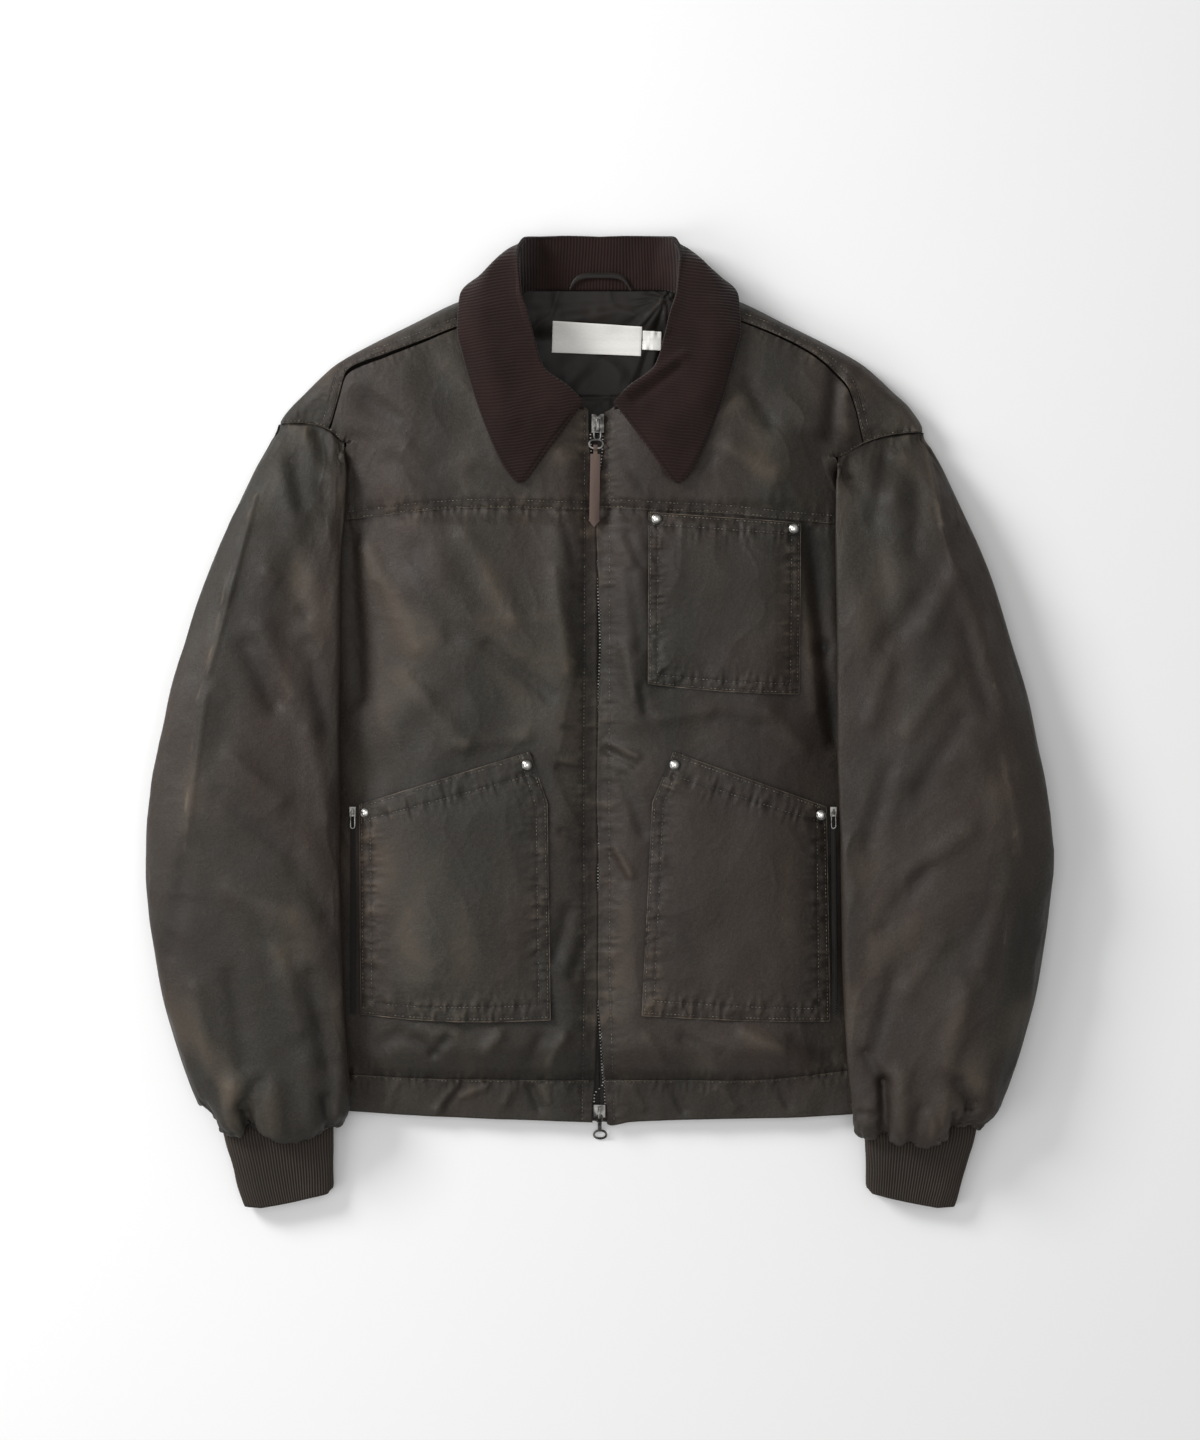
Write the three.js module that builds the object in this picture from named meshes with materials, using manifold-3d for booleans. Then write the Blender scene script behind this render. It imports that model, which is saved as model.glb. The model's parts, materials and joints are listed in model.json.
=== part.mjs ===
// Waxed cotton jacket, laid flat on its back. Millimetres, +Z up, +Y towards the collar.
// side -1 is the wearer's right (-X, "_r"), side +1 the wearer's left (+X, "_l").
import * as THREE from "three";
import Module from "manifold-3d";

const wasm = await Module();
wasm.setup();

const GAP = 0.3; // air between two pieces at a seam
const WALL = 3.0; // padded cloth: shell, padding and lining together
const BAND = 2.4; // hem band
const ROLL = 9; // radius of the body's side edge
const FOLD = 11; // radius of the shoulder fold
const ZIP_X = -1; // centre line of the front zip
const PLACKET = 3.2; // from the zip's centre line to a front's edge
const HEM_Y = -297; // hem band seam
const RIBS = 56; // ribs round a cuff
const RIB_HIGH = 0.9;

// Smooth curve through the rows of a table, [t, value, value, ...], flat past its ends.
function curve(rows) {
  const n = rows.length;
  const slope = (k, c) => (rows[k + 1][c] - rows[k][c]) / (rows[k + 1][0] - rows[k][0]);
  const tangent = (k, c) => {
    if (k === 0 || k === n - 1) return 0.5 * slope(Math.min(k, n - 2), c);
    const a = slope(k - 1, c);
    const b = slope(k, c);
    return a * b <= 0 ? 0 : (2 * a * b) / (a + b);
  };
  return (t, c = 1) => {
    if (t <= rows[0][0]) return rows[0][c];
    if (t >= rows[n - 1][0]) return rows[n - 1][c];
    let k = 0;
    while (t > rows[k + 1][0]) k++;
    const h = rows[k + 1][0] - rows[k][0];
    const s = (t - rows[k][0]) / h;
    const [p, q, m0, m1] = [rows[k][c], rows[k + 1][c], tangent(k, c) * h, tangent(k + 1, c) * h];
    return (2 * s ** 3 - 3 * s * s + 1) * p + (s ** 3 - 2 * s * s + s) * m0 + (3 * s * s - 2 * s ** 3) * q + (s ** 3 - s * s) * m1;
  };
}
const clamp = (v, a = 0, b = 1) => Math.min(b, Math.max(a, v));
const smooth = (v) => clamp(v) ** 2 * (3 - 2 * clamp(v));
const mix = (a, b, t) => a + (b - a) * t;

// Half width of the body: y, right side, left side. It starts at the fork under each armhole.
const BODY_HALF = curve([
  [-334, 219, 219], [-297, 227, 227], [-250, 233, 232], [-150, 236, 235], [0, 236, 235],
  [60, 234, 232], [120, 230, 224], [170, 223, 212], [205, 213, 195.5], [217, 210, 192], [229, 207, 192],
]);
const FORK = { "-1": [209, 229.2], 1: [195.9, 217.1] };

// Shoulder contour: |x|, y on the right side, y on the left side.
const SHOULDER = curve([
  [0, 366.7, 366.7], [60, 366, 366], [75, 362, 362], [90, 355, 355], [116, 346.5, 346.5],
  [153.9, 328, 328], [191.3, 309.4, 309.4], [217.6, 294.5, 294.5], [230.8, 283, 283.5],
  [244, 269.9, 271], [255, 258.9, 261], [262, 250, 252], [265.6, 243, 246.5], [269.6, 236, 239],
]);
// Where sleeve, yokes and back part: x, y. Between the forks it is the seam of back and back yoke.
const ARMHOLE = curve([
  [-266, 245], [-248.5, 245.3], [-233, 243.5], [-222.1, 239], [-208.9, 229.2], [-150, 226],
  [0, 222], [140, 219], [195.9, 217.1], [220, 229.2], [237.6, 234.7], [253, 236.9], [270, 238],
]);
// Shoulder seam on the front: |x|, y.
const SHOULDER_SEAM = {
  "-1": curve([
    [85, 335], [117.7, 323.7], [142.9, 313.7], [175.9, 301.7], [203, 292], [208.9, 287], [214, 269.9], [222.2, 243.5],
  ]),
  1: curve([
    [85, 338], [118.9, 328], [154.2, 313.7], [176.1, 301.7], [193.7, 287.4], [204.7, 274.2],
    [211.2, 256.7], [217.9, 231.5],
  ]),
};
// Columns of the back yoke from the neck out, |x|; both shoulder pieces use them at their seam.
const COLUMNS = {
  "-1": [0, 22, 44, 62, 73, 85, 101, 117.7, 142.9, 160, 175.9, 192, 203, 208.9, 214, 222.2, 232, 243, 253, 260, 263.4],
  1: [0, 22, 44, 62, 73, 85, 101, 118.9, 136, 154.2, 165, 176.1, 185, 193.7, 204.7, 211.2, 217.9, 228, 240, 252, 261, 267.2],
};

// Height of the front's plateau along y: y, at the sides, at the crown.
const FRONT_HIGH = curve([
  [-336, 10.5, 12], [-297, 13, 18], [-285, 15, 30], [-266, 17, 38], [-235, 18, 38], [-150, 18, 42],
  [0, 18, 46], [100, 18, 46], [158, 18, 44], [172, 18, 39], [184, 18.5, 42], [229, 20, 41],
  [280, 22, 37], [330, 22, 31], [357, 22, 27], [370, 22, 24],
]);
const FRONT_REACH = curve([[-336, 226], [-297, 232], [150, 232], [229, 242], [245, 256], [300, 250], [370, 240]]);

// Largest folds of the fronts and yokes: from x, y to x, y, half width, height (minus is a trough).
const FOLDS = [
  [-60, 60, -150, 110, 20, 3], [-185, 150, -150, 40, 18, -4], [-30, 150, -36, -20, 13, 3],
  [-120, -270, -60, -262, 20, 3], [-180, -40, -120, 20, 16, -3], [-150, 240, -60, 215, 22, 3],
  [-190, 265, -130, 215, 15, -3], [60, 215, 150, 235, 22, 3], [185, 140, 150, 0, 16, -3],
  [30, 140, 30, 0, 12, 3], [20, -20, 130, -14, 18, -2], [150, 265, 188, 215, 15, -3],
  [100, -275, 160, -268, 20, 3], [-30, -200, -26, -260, 12, 2],
];
function foldsAt(x, y, rows) {
  let z = 0;
  for (const [x0, y0, x1, y1, w, h] of rows) {
    const [dx, dy] = [x1 - x0, y1 - y0];
    const t = clamp(((x - x0) * dx + (y - y0) * dy) / (dx * dx + dy * dy));
    z += h * Math.exp(-((x - x0 - t * dx) ** 2 + (y - y0 - t * dy) ** 2) / (w * w));
  }
  return z;
}

// Height of the front cloth away from the edges.
function plateau(x, y) {
  const rise = smooth((FRONT_REACH(y) - Math.abs(x)) / 105);
  const dip = FRONT_HIGH(y, 2) * 0.2 * Math.exp(-(((x - ZIP_X) / 17) ** 2));
  return mix(FRONT_HIGH(y, 1), FRONT_HIGH(y, 2) - dip, rise) + foldsAt(x, y, FOLDS) * rise;
}
const nape = (x, y) => 7 * smooth((y - 312) / 26) * (1 - smooth((Math.abs(x) - 78) / 26));

// Distance inside the shoulder contour.
function shoulder(x, side) {
  const a = Math.abs(x);
  const col = side < 0 ? 1 : 2;
  const k = Math.hypot(1, (SHOULDER(a + 0.5, col) - SHOULDER(a - 0.5, col)));
  return { y: SHOULDER(a, col), k };
}
function top(x, y) {
  const side = x < 0 ? -1 : 1;
  if (y < ARMHOLE(x)) return plateau(x, y);
  const { y: edge, k } = shoulder(x, side);
  const g = Math.sqrt(1 - (1 - clamp((edge - y) / k / FOLD)) ** 2);
  const mid = FOLD + nape(x, y);
  return mid + (plateau(x, y) - mid) * g;
}
const half = (y, side) => BODY_HALF(y, side < 0 ? 1 : 2);
const sideHigh = (y) => mix(5.6, ROLL, smooth((y + 300) / 40)); // height of the side seam
// How far the side edge is rolled down: 0 at the fork, 1 some way below it.
const rolled = (y, side) => smooth((FORK[side][1] - y) / 26);

// Point of a front, from its distance from the middle measured along the cloth.
function frontPoint(along, y, side) {
  const w = half(y, side);
  const q = y < FORK[side][1] ? rolled(y, side) : 0;
  const start = w - ROLL;
  if (along <= start || y > FORK[side][1] + 0.01) return [side * along, y, top(side * along, y)];
  const a = (along - start) / ROLL;
  const x = start + ROLL * ((1 - q) * a + q * Math.sin(a));
  return [side * x, y, plateau(side * start, y) - (plateau(side * start, y) - sideHigh(y)) * q * (1 - Math.cos(a))];
}
const frontReach = (y, side) => {
  const q = y < FORK[side][1] ? rolled(y, side) : 0;
  return half(y, side) - ROLL + ROLL * (1 + (Math.PI / 2 - 1) * q);
};

function material(color, roughness, metalness = 0) {
  return new THREE.MeshStandardMaterial({ color, roughness, metalness, side: THREE.DoubleSide });
}
const CLOTH = material(0x3a3631, 0.62);
const CORD = material(0x2d1e1c, 0.9);
const KNIT = material(0x35302b, 0.85);
const SATIN = material(0x2d2d26, 0.4);
const LABEL = material(0xe1ded7, 0.45);
const METAL = material(0x8a8884, 0.3, 1);
const LEATHER = material(0x695546, 0.7);
const TAPE = material(0x241f1c, 0.8);

const root = new THREE.Group();
root.name = "waxed_jacket";

function addMesh(name, points, faces, mat) {
  const geometry = new THREE.BufferGeometry();
  geometry.setAttribute("position", new THREE.Float32BufferAttribute(points.flat(), 3));
  geometry.setIndex(faces.flat());
  geometry.computeVertexNormals();
  const mesh = new THREE.Mesh(geometry, mat);
  mesh.name = name;
  root.add(mesh);
}

// Wall over a grid of points. The outer side is where d/du x d/dv points; the wall goes inwards from it.
// wrap joins the last column to the first, raise(i, j) lifts single outer points.
function wall(name, point, nu, nv, thick, mat, { wrap = false, us = null, vs = null, raise = null, out = 0 } = {}) {
  const U = us ?? Array.from({ length: nu + 1 }, (_, i) => i / nu);
  const V = vs ?? Array.from({ length: nv + 1 }, (_, j) => j / nv);
  const [cu, cv] = [wrap ? U.length - 1 : U.length, V.length];
  const grid = [];
  for (let i = 0; i < cu; i++) grid.push(V.map((v) => new THREE.Vector3(...point(U[i], v))));
  const at = (i, j) => grid[wrap ? (i + cu) % cu : clamp(i, 0, cu - 1)][clamp(j, 0, cv - 1)];
  const outer = [];
  const inner = [];
  for (let i = 0; i < cu; i++)
    for (let j = 0; j < cv; j++) {
      const normal = new THREE.Vector3();
      const pair = (a, b) => a.clone().sub(b).normalize();
      // At an edge of the grid the slope comes from the formula a small step inside it.
      const near = (u, v) => new THREE.Vector3(...point(u, v));
      const eu = 1e-3 * Math.sign(U[1] - U[0]);
      const ev = 1e-3 * Math.sign(V[1] - V[0]);
      let du = pair(at(i + 1, j), at(i, j)).add(pair(at(i, j), at(i - 1, j)));
      let dv = pair(at(i, j + 1), at(i, j)).add(pair(at(i, j), at(i, j - 1)));
      if (!wrap && i === 0) du = pair(near(U[i] + eu, V[j]), at(i, j));
      if (!wrap && i === cu - 1) du = pair(at(i, j), near(U[i] - eu, V[j]));
      if (j === 0) dv = pair(near(U[i], V[j] + ev), at(i, j));
      if (j === cv - 1) dv = pair(at(i, j), near(U[i], V[j] - ev));
      normal.crossVectors(du, dv).normalize();
      const lift = out + (raise ? raise(i, j) : 0);
      outer.push(at(i, j).clone().addScaledVector(normal, lift).toArray());
      inner.push(at(i, j).clone().addScaledVector(normal, out - thick).toArray());
    }
  const m = outer.length;
  const id = (i, j) => ((i + cu) % cu) * cv + j;
  const faces = [];
  const quad = (a, b, c, d) => faces.push([a, b, c], [a, c, d]);
  const last = wrap ? cu : cu - 1;
  for (let i = 0; i < last; i++) {
    for (let j = 0; j < cv - 1; j++) {
      quad(id(i, j), id(i + 1, j), id(i + 1, j + 1), id(i, j + 1));
      quad(m + id(i, j), m + id(i, j + 1), m + id(i + 1, j + 1), m + id(i + 1, j));
    }
    quad(id(i, 0), m + id(i, 0), m + id(i + 1, 0), id(i + 1, 0));
    quad(id(i, cv - 1), id(i + 1, cv - 1), m + id(i + 1, cv - 1), m + id(i, cv - 1));
  }
  if (!wrap)
    for (let j = 0; j < cv - 1; j++) {
      quad(id(0, j), id(0, j + 1), m + id(0, j + 1), m + id(0, j));
      quad(id(cu - 1, j), m + id(cu - 1, j), m + id(cu - 1, j + 1), id(cu - 1, j + 1));
    }
  addMesh(name, outer.concat(inner), faces, mat);
}
const tag = (side) => (side < 0 ? "r" : "l");

// Back: flat on the floor, rolled up at the sides to the side seam.
function backPoint(along, y) {
  const side = along < 0 ? -1 : 1;
  const start = half(y, side) - ROLL;
  const a = Math.max(0, Math.abs(along) - start) / ROLL;
  return [side * (Math.min(Math.abs(along), start) + ROLL * Math.sin(a)), y, sideHigh(y) * (1 - Math.cos(a))];
}
// Rolled columns: 0 to 1 is the flat part, 1 to 2 the quarter turn.
function rollAlong(u, y, side, end) {
  const start = half(y, side) - ROLL;
  return u <= 1 ? u * start : mix(start, end - 0.15, u - 1);
}
const BACK_COLUMNS = [-2, -1.6, -1.25, -1, -0.8, -0.5, -0.2, 0.2, 0.5, 0.8, 1, 1.25, 1.6, 2];
function backWall(name, yTop, yBottom, vs, thick) {
  const turn = (ROLL * Math.PI) / 2 - GAP / 2;
  wall(name, (u, v) => {
    const side = u < 0 ? -1 : 1;
    const guess = u * 200;
    const y = mix(yTop(clamp(guess, -205, 190)), yBottom(clamp(guess, -200, 200)), v);
    return backPoint(side * rollAlong(Math.abs(u), y, side, half(y, side) - ROLL + turn), y);
  }, 0, 0, thick, CLOTH, { us: BACK_COLUMNS, vs });
}
backWall("back_panel", (x) => ARMHOLE(x) - GAP, () => HEM_Y + GAP, [0, 0.05, 0.12, 0.25, 0.5, 0.75, 0.92, 1], WALL);

// Back yoke: from the split over the shoulder fold to the seam on the front.
function yokeColumn(a, side, t) {
  const x = side * a;
  const { y: edge, k } = shoulder(x, side);
  const turn = (FOLD * Math.PI) / 2;
  // Measured along the cloth from the fold: minus on the back, plus on the front.
  const along = (y, s) => {
    const d = (edge - y) / k;
    return s * (d >= FOLD ? d - FOLD + turn : FOLD * Math.acos(clamp(1 - d / FOLD, -1, 1)));
  };
  const seam = SHOULDER_SEAM[side];
  const end = side < 0 ? 222.2 : 217.9;
  let stop;
  if (a <= 62) stop = along(355.5, -1);
  else if (a < 85) stop = mix(along(355.5, -1), along(seam(85) + GAP, 1), smooth((a - 62) / 23));
  else stop = along(a <= end ? seam(a) + GAP : ARMHOLE(x) + 2.5 * GAP, 1);
  const w = mix(along(ARMHOLE(x) + (a > 225 ? 2.5 : 1) * GAP, -1), stop, t);
  const s = Math.abs(w);
  const d = s >= turn ? s - turn + FOLD : FOLD * (1 - Math.cos(s / FOLD));
  const y = edge - d * k;
  const g = Math.sqrt(Math.max(0, 1 - (1 - clamp(d / FOLD)) ** 2));
  const low = nape(x, y);
  return [x, y, w < 0 ? low + FOLD * (1 - g) : FOLD + low + (plateau(x, y) - FOLD - low) * g];
}
{
  const us = [...COLUMNS[-1].map((a) => -a).reverse().slice(0, -1), ...COLUMNS[1]];
  wall("back_yoke", (u, t) => yokeColumn(Math.abs(u), u < 0 ? -1 : 1, 1 - t), 0, 11, WALL, CLOTH, { us });
}

// Front yokes: u from the zip out, v from the yoke seam up.
const yokeSeam = curve([
  [-230, 164], [-208.9, 165.5], [-175.9, 168.8], [-138.6, 172.4], [-102, 174.3], [-12.3, 172.4], [2.5, 174.3],
  [60.9, 171.5], [99.2, 169.9], [148.4, 165.1], [193.7, 162.2], [230, 160],
]);
const NECKLINE = curve([[0, 6, 254], [0.2, 24, 266], [0.45, 50, 288], [0.7, 68, 316], [1, 85, 335]]);
function frontYoke(side) {
  const cols = COLUMNS[side].filter((a) => a >= 85 && a <= (side < 0 ? 222.3 : 218));
  const n = cols.length - 1;
  const seam = SHOULDER_SEAM[side];
  const inset = PLACKET - side * ZIP_X * -1;
  // Upper edge as [along, y] pairs: neckline, then shoulder seam on the shared columns.
  const neck = [0, 0.25, 0.5, 0.75].map((t) => [Math.max(inset, NECKLINE(t, 1)), NECKLINE(t, 2) - 0.4]);
  neck[0][0] = inset;
  const upper = [...neck, ...cols.map((a) => [a - (a > 200 ? GAP : 0), seam(a)])];
  const count = upper.length - 1;
  const [fx, fy] = FORK[side];
  const tip = upper[count];
  const low = (u) => {
    const y = yokeSeam(side * u * 215) + GAP;
    return [mix(inset, frontReach(y, side) - 0.5, u), y];
  };
  const yLow = low(1)[1];
  // Outer edge: up the side edge to the fork, then along the armhole.
  const outer = (v) => {
    const cut = 0.72;
    if (v <= cut) {
      const y = mix(yLow, fy, v / cut);
      return [frontReach(y, side) - 0.5 * rolled(y, side), y];
    }
    const a = mix(fx, tip[0], (v - cut) / (1 - cut));
    return [a, ARMHOLE(side * a) + GAP + 0.1];
  };
  const pick = (u) => {
    const k = clamp(Math.floor(u * count), 0, count - 1);
    const f = u * count - k;
    return [mix(upper[k][0], upper[k + 1][0], f), mix(upper[k][1], upper[k + 1][1], f)];
  };
  // Even spacing of the lower edge, closer at the rolled side.
  const lowU = (u) => (u < 0.7 ? (u / 0.7) * 0.86 : 0.86 + ((u - 0.7) / 0.3) * 0.14);
  const point = (u, v) => {
    const [b, t, l, r] = [low(lowU(u)), pick(u), [inset, mix(low(0)[1], neck[0][1], v)], outer(v)];
    const [c00, c10, c01, c11] = [low(0), low(1), upper[0], upper[count]];
    return [0, 1].map((k) => (1 - v) * b[k] + v * t[k] + (1 - u) * l[k] + u * r[k]
      - ((1 - u) * (1 - v) * c00[k] + u * (1 - v) * c10[k] + (1 - u) * v * c01[k] + u * v * c11[k]));
  };
  const us = Array.from({ length: count + 1 }, (_, i) => i / count);
  wall(`front_yoke_${tag(side)}`, (u, v) => {
    const [along, y] = point(side < 0 ? 1 - u : u, v);
    return frontPoint(along, y, side);
  }, 0, 0, WALL, CLOTH, { us, vs: [0, 0.1, 0.24, 0.4, 0.56, 0.72, 0.86, 1] });
}

// Fronts and hem bands: u from the zip out, v from the top down. open is the extra inset of the hem's V.
const hemOpen = (y) => 3.4 * smooth((-217 - y) / 90);
const hemEdge = curve([
  [-226, -321], [-202.5, -323.4], [-114, -328.4], [-7.4, -332.5], [6.5, -333.7], [9.8, -335], [25.4, -332.2],
  [82.8, -329.8], [154, -328.4], [207.2, -325.9], [226, -324],
]);
const hemSeam = curve([
  [-230, -291], [-204.6, -292.8], [-114, -296.4], [-7.4, -297.3], [6.5, -297.1], [118.5, -297.1], [203.8, -289.9], [230, -288],
]);
const FRONT_COLUMNS = [0, 0.04, 0.1, 0.2, 0.32, 0.45, 0.58, 0.7, 0.8, 0.88, 0.95, 1, 1.25, 1.6, 2];
function frontWall(name, side, yTop, yBottom, vs, thick) {
  const us = side < 0 ? FRONT_COLUMNS.map((u) => -u).reverse() : FRONT_COLUMNS;
  wall(name, (u, t) => {
    const a = Math.abs(u);
    const x = side * Math.min(a, 1.05) * 225;
    const y = mix(yTop(x), yBottom(x), 1 - t);
    const inset = PLACKET + side * ZIP_X + hemOpen(y);
    const start = half(y, side) - ROLL;
    const turn = (ROLL * Math.PI) / 2 - GAP;
    return frontPoint(a <= 1 ? mix(inset, start, a) : start + turn * (a - 1), y, side);
  }, 0, 0, thick, CLOTH, { us, vs: vs.map((v) => 1 - v).reverse() });
}
const FRONT_ROWS = [0, 0.03, 0.08, 0.15, 0.24, 0.34, 0.45, 0.56, 0.67, 0.77, 0.85, 0.91, 0.95, 0.98, 1];
for (const side of [-1, 1]) {
  frontYoke(side);
  frontWall(`front_${tag(side)}`, side, yokeSeam, (x) => hemSeam(x) + GAP, FRONT_ROWS, WALL);
  frontWall(`hem_band_${tag(side)}`, side, hemSeam, hemEdge, [0, 0.35, 0.7, 1], BAND);
}
backWall("hem_band_back", () => HEM_Y, (x) => hemEdge(x), [0, 0.5, 1], BAND);

// Sleeve outline: y, outer |x|, inner |x| right, inner |x| left, crown height.
const SLEEVE = curve([
  [-336, 319, 208, 209, 43], [-330, 326, 205, 207.5, 47], [-313.7, 333.7, 204.6, 206.5, 50], [-291.5, 341.4, 205.8, 204.5, 52],
  [-261, 350.6, 207.9, 202.5, 54], [-226.7, 360, 209.5, 200.5, 55], [-189.8, 366.3, 210.7, 199.3, 56],
  [-156, 371, 211.6, 198.8, 57], [-125, 373.5, 212, 198.3, 57], [-94.7, 373, 212.4, 198, 57], [-57, 369, 212.4, 196.5, 56],
  [-20, 361.6, 212.7, 195.2, 55], [16.8, 354.2, 212.4, 194.8, 54], [66, 339.5, 211.6, 195, 53], [107, 327.2, 211.6, 194.5, 51],
  [139.8, 314.9, 211.1, 194.2, 48], [172.6, 300.1, 208.7, 194.5, 44], [205.4, 285, 207, 195.2, 38], [243, 266, 208.5, 195.9, 30],
]);
// Largest creases of a sleeve's front: from |x|, y to |x|, y, half width, height.
const SLEEVE_FOLDS = {
  "-1": [[-289, 176, -307, 107, 9, 3], [-307, 107, -339, -106, 11, 3], [-235, 150, -262, 20, 16, -4],
    [-330, -150, -262, -190, 16, -3], [-225, -120, -300, -60, 18, 3], [-262, 215, -236, 120, 10, 2.5]],
  1: [[270, 238, 283, 160, 9, 3], [283, 160, 330, 20, 11, 3], [222, 160, 240, 40, 15, -4],
    [225, -60, 300, -20, 18, 3], [345, -140, 262, -200, 16, -3], [330, -60, 345, -200, 12, 2.5]],
};
// Gathers at the cuff: place across the sleeve (0 inner, 1 outer), depth on the front, on the back.
const GATHERS = [
  [0.08, 3, 2], [0.2, 4, 3], [0.33, 5, 2], [0.46, 4, 3], [0.58, 3, 2], [0.7, 6, 3], [0.81, 4, 2], [0.92, 3, 2],
];
// Cuff: y, inner |x| and outer |x| right, inner and outer left, height.
const CUFF = curve([
  [-403, 219.2, 294.3, 222, 295, 17], [-388, 219.4, 298.5, 221, 299, 19], [-366, 219.6, 304, 220.4, 304.6, 21], [-338, 219.5, 311, 219, 312, 22],
]);
const cuffEnd = (t, side) => (side < 0 ? mix(-389.5, -402.4, smooth(t * 1.4)) : mix(-391.5, -403, smooth(t * 1.4)));
const CUFF_IN = 4.5; // how far a cuff goes up into its sleeve
const CUFF_LIFT = 4; // the sleeve's end lies under the cuff

function cuffRing(a, y, side, grow = 0) {
  const [c, h] = [side < 0 ? 1 : 3, CUFF(y, 5)];
  const [i, o] = [CUFF(y, c), CUFF(y, c + 1)];
  const [xm, hw] = [(i + o) / 2, (o - i) / 2 - RIB_HIGH + grow];
  const [cs, sn] = [Math.cos(a), Math.sin(a)];
  const x = xm + hw * Math.sign(cs) * Math.abs(cs) ** 0.8;
  const z = h / 2 + (h / 2 - RIB_HIGH + grow) * clamp(1.12 * Math.sign(sn) * Math.abs(sn) ** 0.7, -1, 1);
  return [side * x, z + CUFF_LIFT * smooth((y + 385) / 32)];
}
for (const side of [-1, 1]) {
  const columns = RIBS * 2;
  wall(`cuff_${tag(side)}`, (u, v) => {
    const a = -side * u * Math.PI * 2;
    const t = 0.5 + 0.5 * Math.cos(a);
    const y = mix(-344.5 + CUFF_IN, cuffEnd(t, side), 1 - v);
    const [x, z] = cuffRing(a, y, side);
    return [x, y, z];
  }, columns, 2, 2, KNIT, { wrap: true, raise: (i) => (i % 2 ? RIB_HIGH : 0) });
}

function sleeveRing(a, y, side) {
  const [o, i, h] = [SLEEVE(y, 1), SLEEVE(y, side < 0 ? 2 : 3), SLEEVE(y, 4)];
  const [xm, hw] = [(o + i) / 2, (o - i) / 2];
  const [cs, sn] = [Math.cos(a), Math.sin(a)];
  const x = xm + hw * Math.sign(cs) * Math.abs(cs) ** 0.92;
  const w = half(y, side);
  const lift = (plateau(side * Math.min(x, w - ROLL), y) + 1.6) * smooth((y + 338) / 11);
  // Over the body's edge, then a step down to the floor.
  const low = lift * (1 - smooth((x - (w + 1.5)) / 15));
  const inner = 0.5 * (1 - cs);
  const middle = mix(0.42 * h, low + 0.5 * (h - low), smooth(inner * 1.6 - 0.3));
  const crown = h + foldsAt(side * x, y, SLEEVE_FOLDS[side]) * Math.max(0, sn);
  const z = sn >= 0 ? middle + (crown - middle) * Math.abs(sn) ** 0.78 : middle - (middle - low) * clamp(1.3 * Math.abs(sn) ** 0.6);
  return [x, Math.max(z, low)];
}
// First ring: the shoulder's own section at the armhole.
function armholeRing(a, side) {
  const [o, i] = [side < 0 ? 265.2 : 268.6, FORK[side][0] + 0.6];
  const x = (o + i) / 2 + ((o - i) / 2) * Math.cos(a);
  const y = ARMHOLE(side * x) - 2 * GAP;
  const { y: edge, k } = shoulder(side * x, side);
  const d = clamp((edge - y) / k / FOLD);
  const g = Math.sqrt(1 - (1 - d) ** 2) * Math.min(1, Math.abs(Math.sin(a)) ** 0.5 * 1.25);
  const z = Math.sin(a) >= 0 ? FOLD + (plateau(side * x, y) - FOLD) * g : FOLD * (1 - g);
  return [x, y, z];
}
function sleevePoint(u, v, side) {
  const a = -side * u * Math.PI * 2;
  const sn = Math.sin(a);
  const start = side < 0 ? 243 : 236;
  if (v <= 1) {
    const y = mix(start, -336, v);
    const [x, z] = sleeveRing(a, y, side);
    const fade = 1 - smooth((start - y) / (side < 0 ? 46 : 52));
    if (fade <= 0) return [side * x, y, z];
    const [ax, ay, az] = armholeRing(a, side);
    const quick = mix(fade, 1 - smooth((start - y) / 13), smooth(2 * Math.cos(a)));
    const [bx, by] = [mix(x, ax, quick), y + (ay - start) * fade];
    const over = by < FORK[side][1] - 0.5 && v > 0 && bx < half(by, side) + 2.5;
    return [side * bx, by, Math.max(mix(z, az, fade), over ? plateau(side * (half(by, side) - ROLL), by) + 2.6 + 9 * smooth(0.5 + 2 * sn) : 0)];
  }
  // The puff turns in over the cuff: t from 0 at its fullest to 1 on the knit.
  const t = (v - 1) / 0.08;
  const [x, z] = sleeveRing(a, -336, side);
  const y = -336 - 16 * Math.sin((t * Math.PI) / 2) ** 0.9;
  const [cx, cz] = cuffRing(a, -350, side, RIB_HIGH + 1.1 + WALL);
  const k = smooth((t / 0.9) ** 1.25);
  let gather = 0;
  const across = 0.5 * (1 - Math.cos(a));
  for (const [place, front, back] of GATHERS)
    gather += (sn >= 0 ? front : back) * Math.exp(-(((across - place) / 0.035) ** 2));
  gather *= Math.sin(Math.min(1, t) * Math.PI) * 0.7;
  return [side * mix(x, Math.abs(cx), k), y + gather, Math.max(mix(z, cz, k), 0.02)];
}
const SLEEVE_ROWS = [0, 0.012, 0.03, 0.06, 0.1, 0.15, 0.22, 0.31, 0.41, 0.52, 0.64, 0.76, 0.87, 0.983, 1, 1.024, 1.048, 1.07, 1.08];
for (const side of [-1, 1])
  wall(`sleeve_${tag(side)}`, (u, v) => sleevePoint(u, v, side), 24, 0, WALL, CLOTH,
    { wrap: true, vs: SLEEVE_ROWS.map((v) => v).reverse() });

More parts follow.
